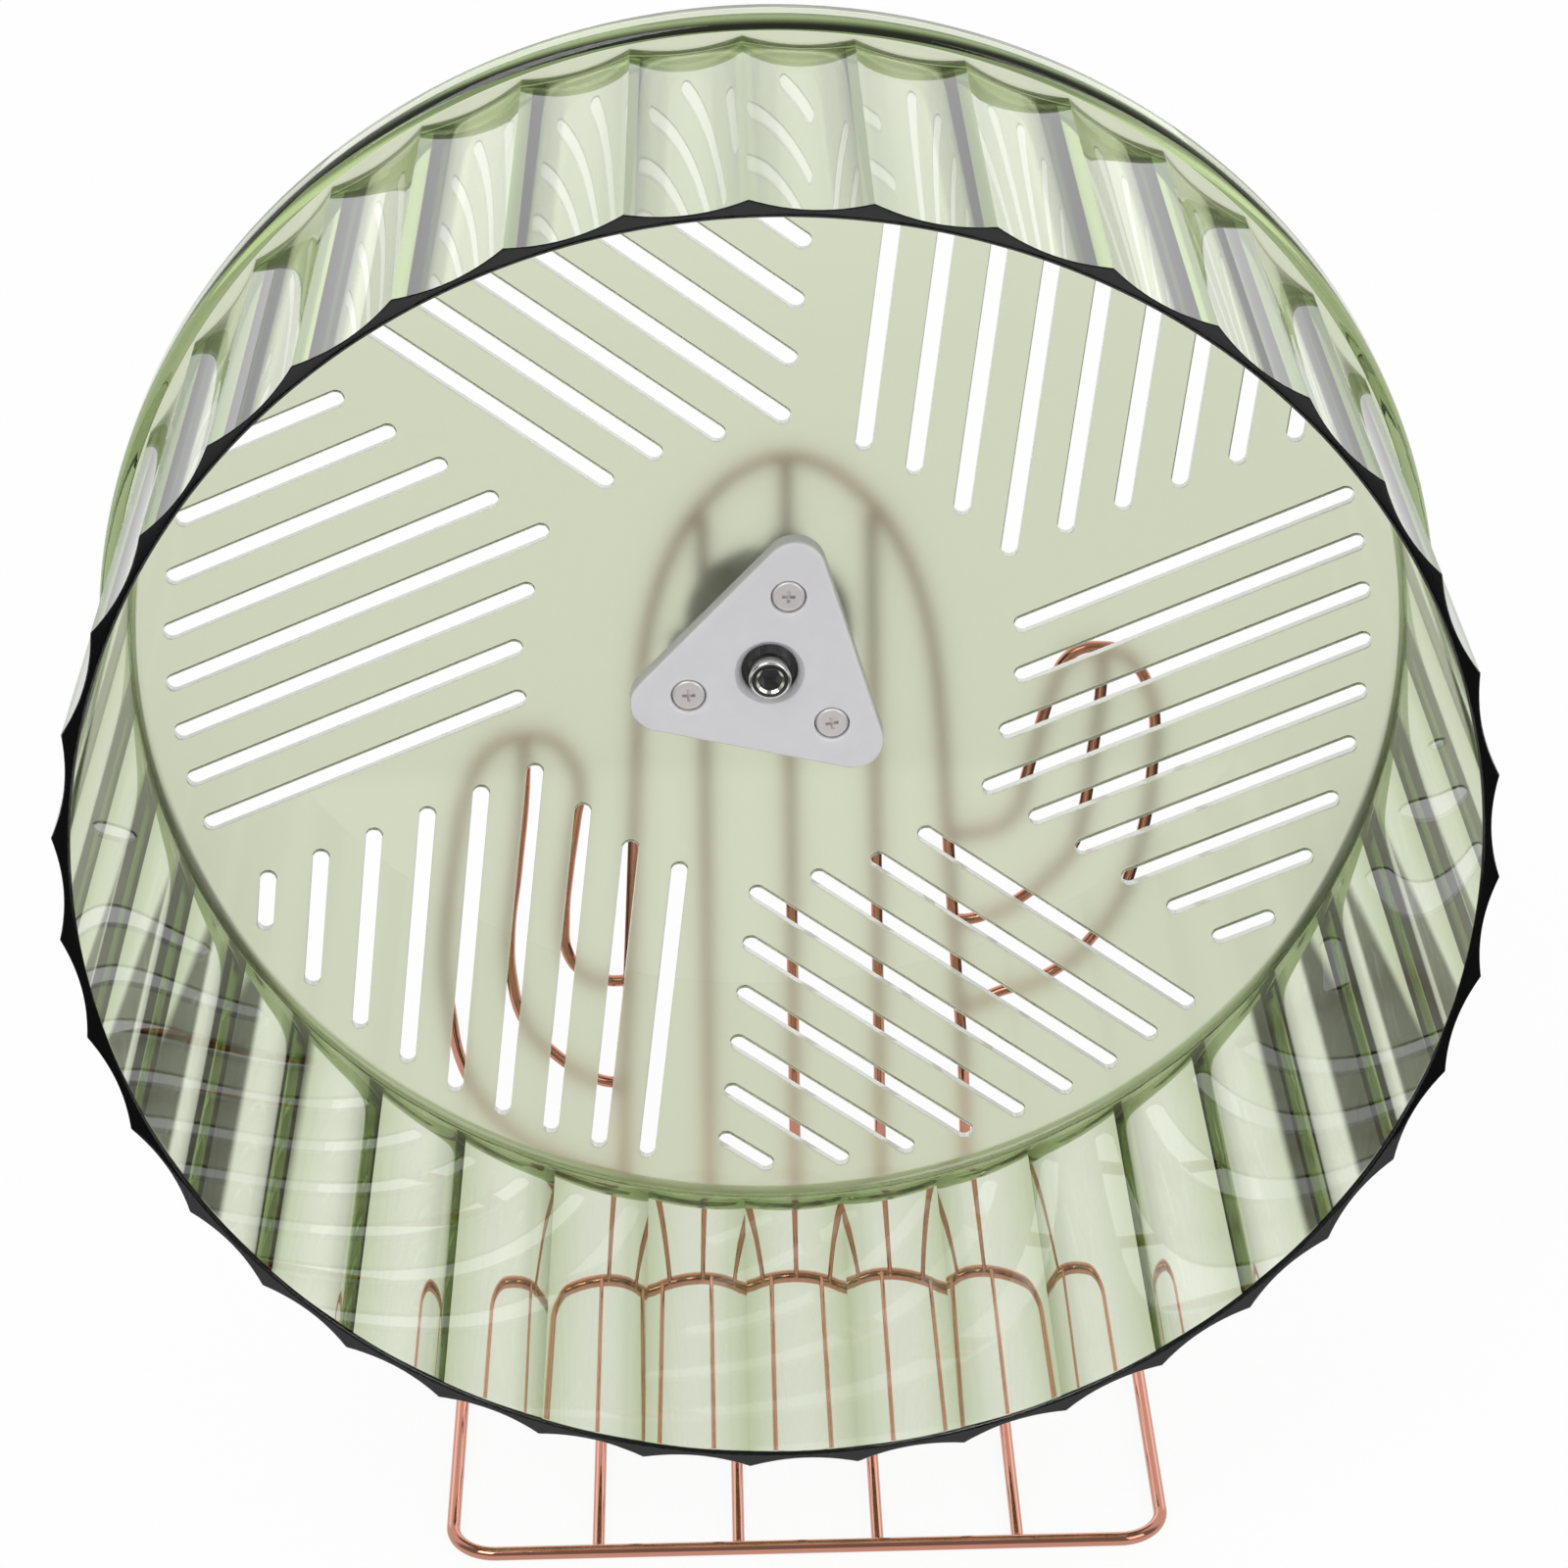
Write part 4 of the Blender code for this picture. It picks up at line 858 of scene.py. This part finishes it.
def makeWelds():
    # small uneven beads where the wires meet
    sizes = weldSizes
    beads = []
    for number, (place, axis) in enumerate(weldPlaces):
        bpy.ops.object.select_all(action='DESELECT')
        scale = [sizes["across"]] * 3
        scale['XYZ'.index(axis)] = sizes["along"]
        scale[2] = min(scale[2], place.z - sizes["jitter"])
        bpy.ops.mesh.primitive_uv_sphere_add(segments=sizes["segments"], ring_count=sizes["rings"], radius=1,
                                             location=place, scale=scale)
        bead = freshPiece("weldBead")
        bpy.ops.object.transform_apply(location=True, rotation=True, scale=True)
        bpy.ops.object.mode_set(mode='EDIT')
        bpy.ops.mesh.select_all(action='SELECT')
        bpy.ops.transform.vertex_random(offset=sizes["jitter"], seed=number)
        bpy.ops.mesh.vertices_smooth(factor=sizes["softness"], repeat=sizes["softenings"])
        bpy.ops.object.mode_set(mode='OBJECT')
        beads.append(bead)
    welds = joinPieces("weldBeads", beads)
    finishPiece(welds, "stand", [], copperWire, smoothAngle=sizes["smoothAngle"])


# floor, light and camera
cameraSizes = {"fromAxle": (-0.009012, -0.758034, 0.378977), "yaw": math.radians(-0.874),
               "pitch": math.radians(-28.191), "roll": math.radians(-0.819), "focalPixels": 4366.1,
               "framePixels": 1600, "sensor": 36.0, "clipStart": 0.01}
floorLook = {"size": 8, "colour": (0.92, 0.92, 0.92), "rough": 0.8, "glow": 0.92, "front": (-0.25, -0.235),
             "side": (0.165, 0.15), "back": (0.23, 0.26), "far": (0.5, 0.75)}
worldLook = {"plain": 0.75, "front": (-0.3, 0.3), "frontLevel": 0.3, "low": (0.24, 0.1), "high": (0.55, 0.85)}
darkLevel = 0.04
lamps = (("keyLight", (-0.6, -1.0, 1.2), (0.8, 0.8), 8.0),
         ("fillLight", (0.9, -1.0, 0.8), (0.9, 0.9), 5.0),
         ("backLight", (0.0, 1.6, 0.6), (3.0, 0.7), 4.5))


def makeCamera():
    yaw, pitch, roll = cameraSizes["yaw"], cameraSizes["pitch"], cameraSizes["roll"]
    right = Vector((math.cos(yaw), math.sin(yaw), 0))
    ahead = Vector((-math.sin(yaw) * math.cos(pitch), math.cos(yaw) * math.cos(pitch), math.sin(pitch)))
    above = right.cross(ahead)
    rolledRight = right * math.cos(roll) + above * math.sin(roll)
    rolledAbove = above * math.cos(roll) - right * math.sin(roll)
    bpy.ops.object.select_all(action='DESELECT')
    bpy.ops.object.camera_add()
    camera = bpy.context.active_object
    camera.name = "photoCamera"
    turned = Matrix((rolledRight, rolledAbove, -ahead)).transposed().to_4x4()
    camera.matrix_world = Matrix.Translation(axlePlace + Vector(cameraSizes["fromAxle"])) @ turned
    camera.data.sensor_width = cameraSizes["sensor"]
    camera.data.lens = cameraSizes["focalPixels"] / cameraSizes["framePixels"] * cameraSizes["sensor"]
    camera.data.clip_start = cameraSizes["clipStart"]
    bpy.context.scene.camera = camera


def fade(tree, source, span):
    # goes softly from dark to white between the two places of the span
    return rangeOf(tree, source, (darkLevel, 1), span, 'SMOOTHSTEP')


def makeFloor():
    bpy.ops.object.select_all(action='DESELECT')
    bpy.ops.mesh.primitive_plane_add(size=floorLook["size"], location=(0, 0, 0))
    floor = freshPiece("studioFloor")
    finish, tree, shader = newFinish("paleFloor")
    shader.inputs["Base Color"].default_value = opaque(floorLook["colour"])
    shader.inputs["Roughness"].default_value = floorLook["rough"]
    # white to the camera, and to metal and plastic white but for a dark band round the wheel
    rays = addNode(tree, "ShaderNodeLightPath").outputs
    seen = highest(tree, rays["Is Glossy Ray"], rays["Is Transmission Ray"], rays["Is Camera Ray"])
    where = objectPlace(tree)
    split = addNode(tree, "ShaderNodeSeparateXYZ", None, {"Vector": where}).outputs
    away = addNode(tree, "ShaderNodeVectorMath", {"operation": 'LENGTH'}, {0: where}).outputs["Value"]
    side = fade(tree, mathNode(tree, 'ABSOLUTE', split["X"]), floorLook["side"])
    back = fade(tree, split["Y"], floorLook["back"])
    near = mathNode(tree, 'MINIMUM', highest(tree, side, back), fade(tree, split["Y"], floorLook["front"]))
    level = highest(tree, near, fade(tree, away, floorLook["far"]), rays["Is Camera Ray"])
    glow = addNode(tree, "ShaderNodeEmission", None, {"Strength": level})
    share = mathNode(tree, 'MULTIPLY', seen, floorLook["glow"])
    mix = addNode(tree, "ShaderNodeMixShader", None, {0: share})
    tree.links.new(shader.outputs["BSDF"], mix.inputs[1])
    tree.links.new(glow.outputs["Emission"], mix.inputs[2])
    tree.links.new(mix.outputs["Shader"], tree.nodes["Material Output"].inputs["Surface"])
    floor.data.materials.append(finish)


def makeWorld():
    # plain light for the object, white to the camera, paler or darker by direction to metal and plastic
    world = bpy.data.worlds.new("studioWorld")
    world.use_nodes = True
    bpy.context.scene.world = world
    tree = world.node_tree
    background = tree.nodes["Background"]
    background.inputs["Color"].default_value = (1, 1, 1, 1)
    rays = addNode(tree, "ShaderNodeLightPath").outputs
    direction = addNode(tree, "ShaderNodeTexCoord").outputs["Generated"]
    split = addNode(tree, "ShaderNodeSeparateXYZ", None, {"Vector": direction}).outputs
    plain = mathNode(tree, 'MULTIPLY', rays["Is Diffuse Ray"], worldLook["plain"])
    # a ray that goes through counts as glossy too
    mirrored = mathNode(tree, 'SUBTRACT', rays["Is Glossy Ray"], rays["Is Transmission Ray"])
    behind = highest(tree, fade(tree, split["Y"], worldLook["front"]), worldLook["frontLevel"])
    mirrored = mathNode(tree, 'MULTIPLY', mirrored, behind)
    ends = highest(tree, fade(tree, split["Z"], worldLook["low"]), fade(tree, split["Z"], worldLook["high"]))
    through = mathNode(tree, 'MULTIPLY', rays["Is Transmission Ray"], ends)
    level = highest(tree, plain, rays["Is Camera Ray"], mirrored, through)
    tree.links.new(level, background.inputs["Strength"])


def makeLamps():
    for name, place, size, power in lamps:
        bpy.ops.object.light_add(type='AREA', location=place)
        light = bpy.context.active_object
        light.name = name
        light.data.shape = 'RECTANGLE'
        light.data.size, light.data.size_y = size
        light.data.energy = power
        light.rotation_euler = (axlePlace - Vector(place)).to_track_quat('-Z', 'Y').to_euler()


clearGreen = makeClearGreen()
milkyPlastic = makePlastic("milkyPlastic", (0.68, 0.67, 0.71), (0.28, 0.42), grain=300.0, subsurface=0.8)
darkPlastic = makePlastic("darkPlastic", (0.025, 0.028, 0.025), (0.35, 0.5), grain=400.0)
brightSteel = makeMetal("brightSteel", (0.80, 0.79, 0.78), (0.08, 0.18), grain=600.0)
paleSteel = makeMetal("paleSteel", (0.95, 0.91, 0.91), (0.4, 0.55), grain=600.0)
# dark steel for painted shade in the bearings' bore and a painted dark reflection on the axle screw's face
darkSteel = makeMetal("darkSteel", (0.10, 0.10, 0.10), (0.20, 0.32), grain=500.0)
cageBrass = makeMetal("cageBrass", (0.75, 0.58, 0.32), (0.25, 0.40), grain=500.0)
copperWire = makeMetal("copperWire", (0.56, 0.26, 0.185), (0.03, 0.07), grain=250.0, bump=0.05)
print("finishes ready")

makeDrum()
print("drum ready")
makeHubPlate()
makeHubScrews()
makeHousing()
print("hub ready")
makeBearing("front")
makeBearing("rear")
makeAxleBolt()
makeSleeve("bearing_spacer", brightSteel, sleeveSizes["steps"])
makeSleeve("rear_spacer", brightSteel, sleeveSizes["steps"])
makeSleeve("axle_bushing", copperWire, sleeveSizes["bushingSteps"])
makeNut()
print("axle ready")
makeBase()
makeTrunk()
makeArms()
makeWelds()
print("stand ready")

# cages and balls keep their CAD shape and get a better finish
for side in ("front", "rear"):
    for node in [f"{side}_cage"] + [f"{side}_ball_{number + 1}" for number in range(bearingSizes["balls"])]:
        cadPiece = frame["nodes"][node]
        cadPiece.data.materials.clear()
        cadPiece.data.materials.append(cageBrass if node.endswith("cage") else brightSteel)

makeFloor()
makeWorld()
makeLamps()
makeCamera()
bpy.context.scene.view_settings.view_transform = 'Standard'
print("surroundings ready")
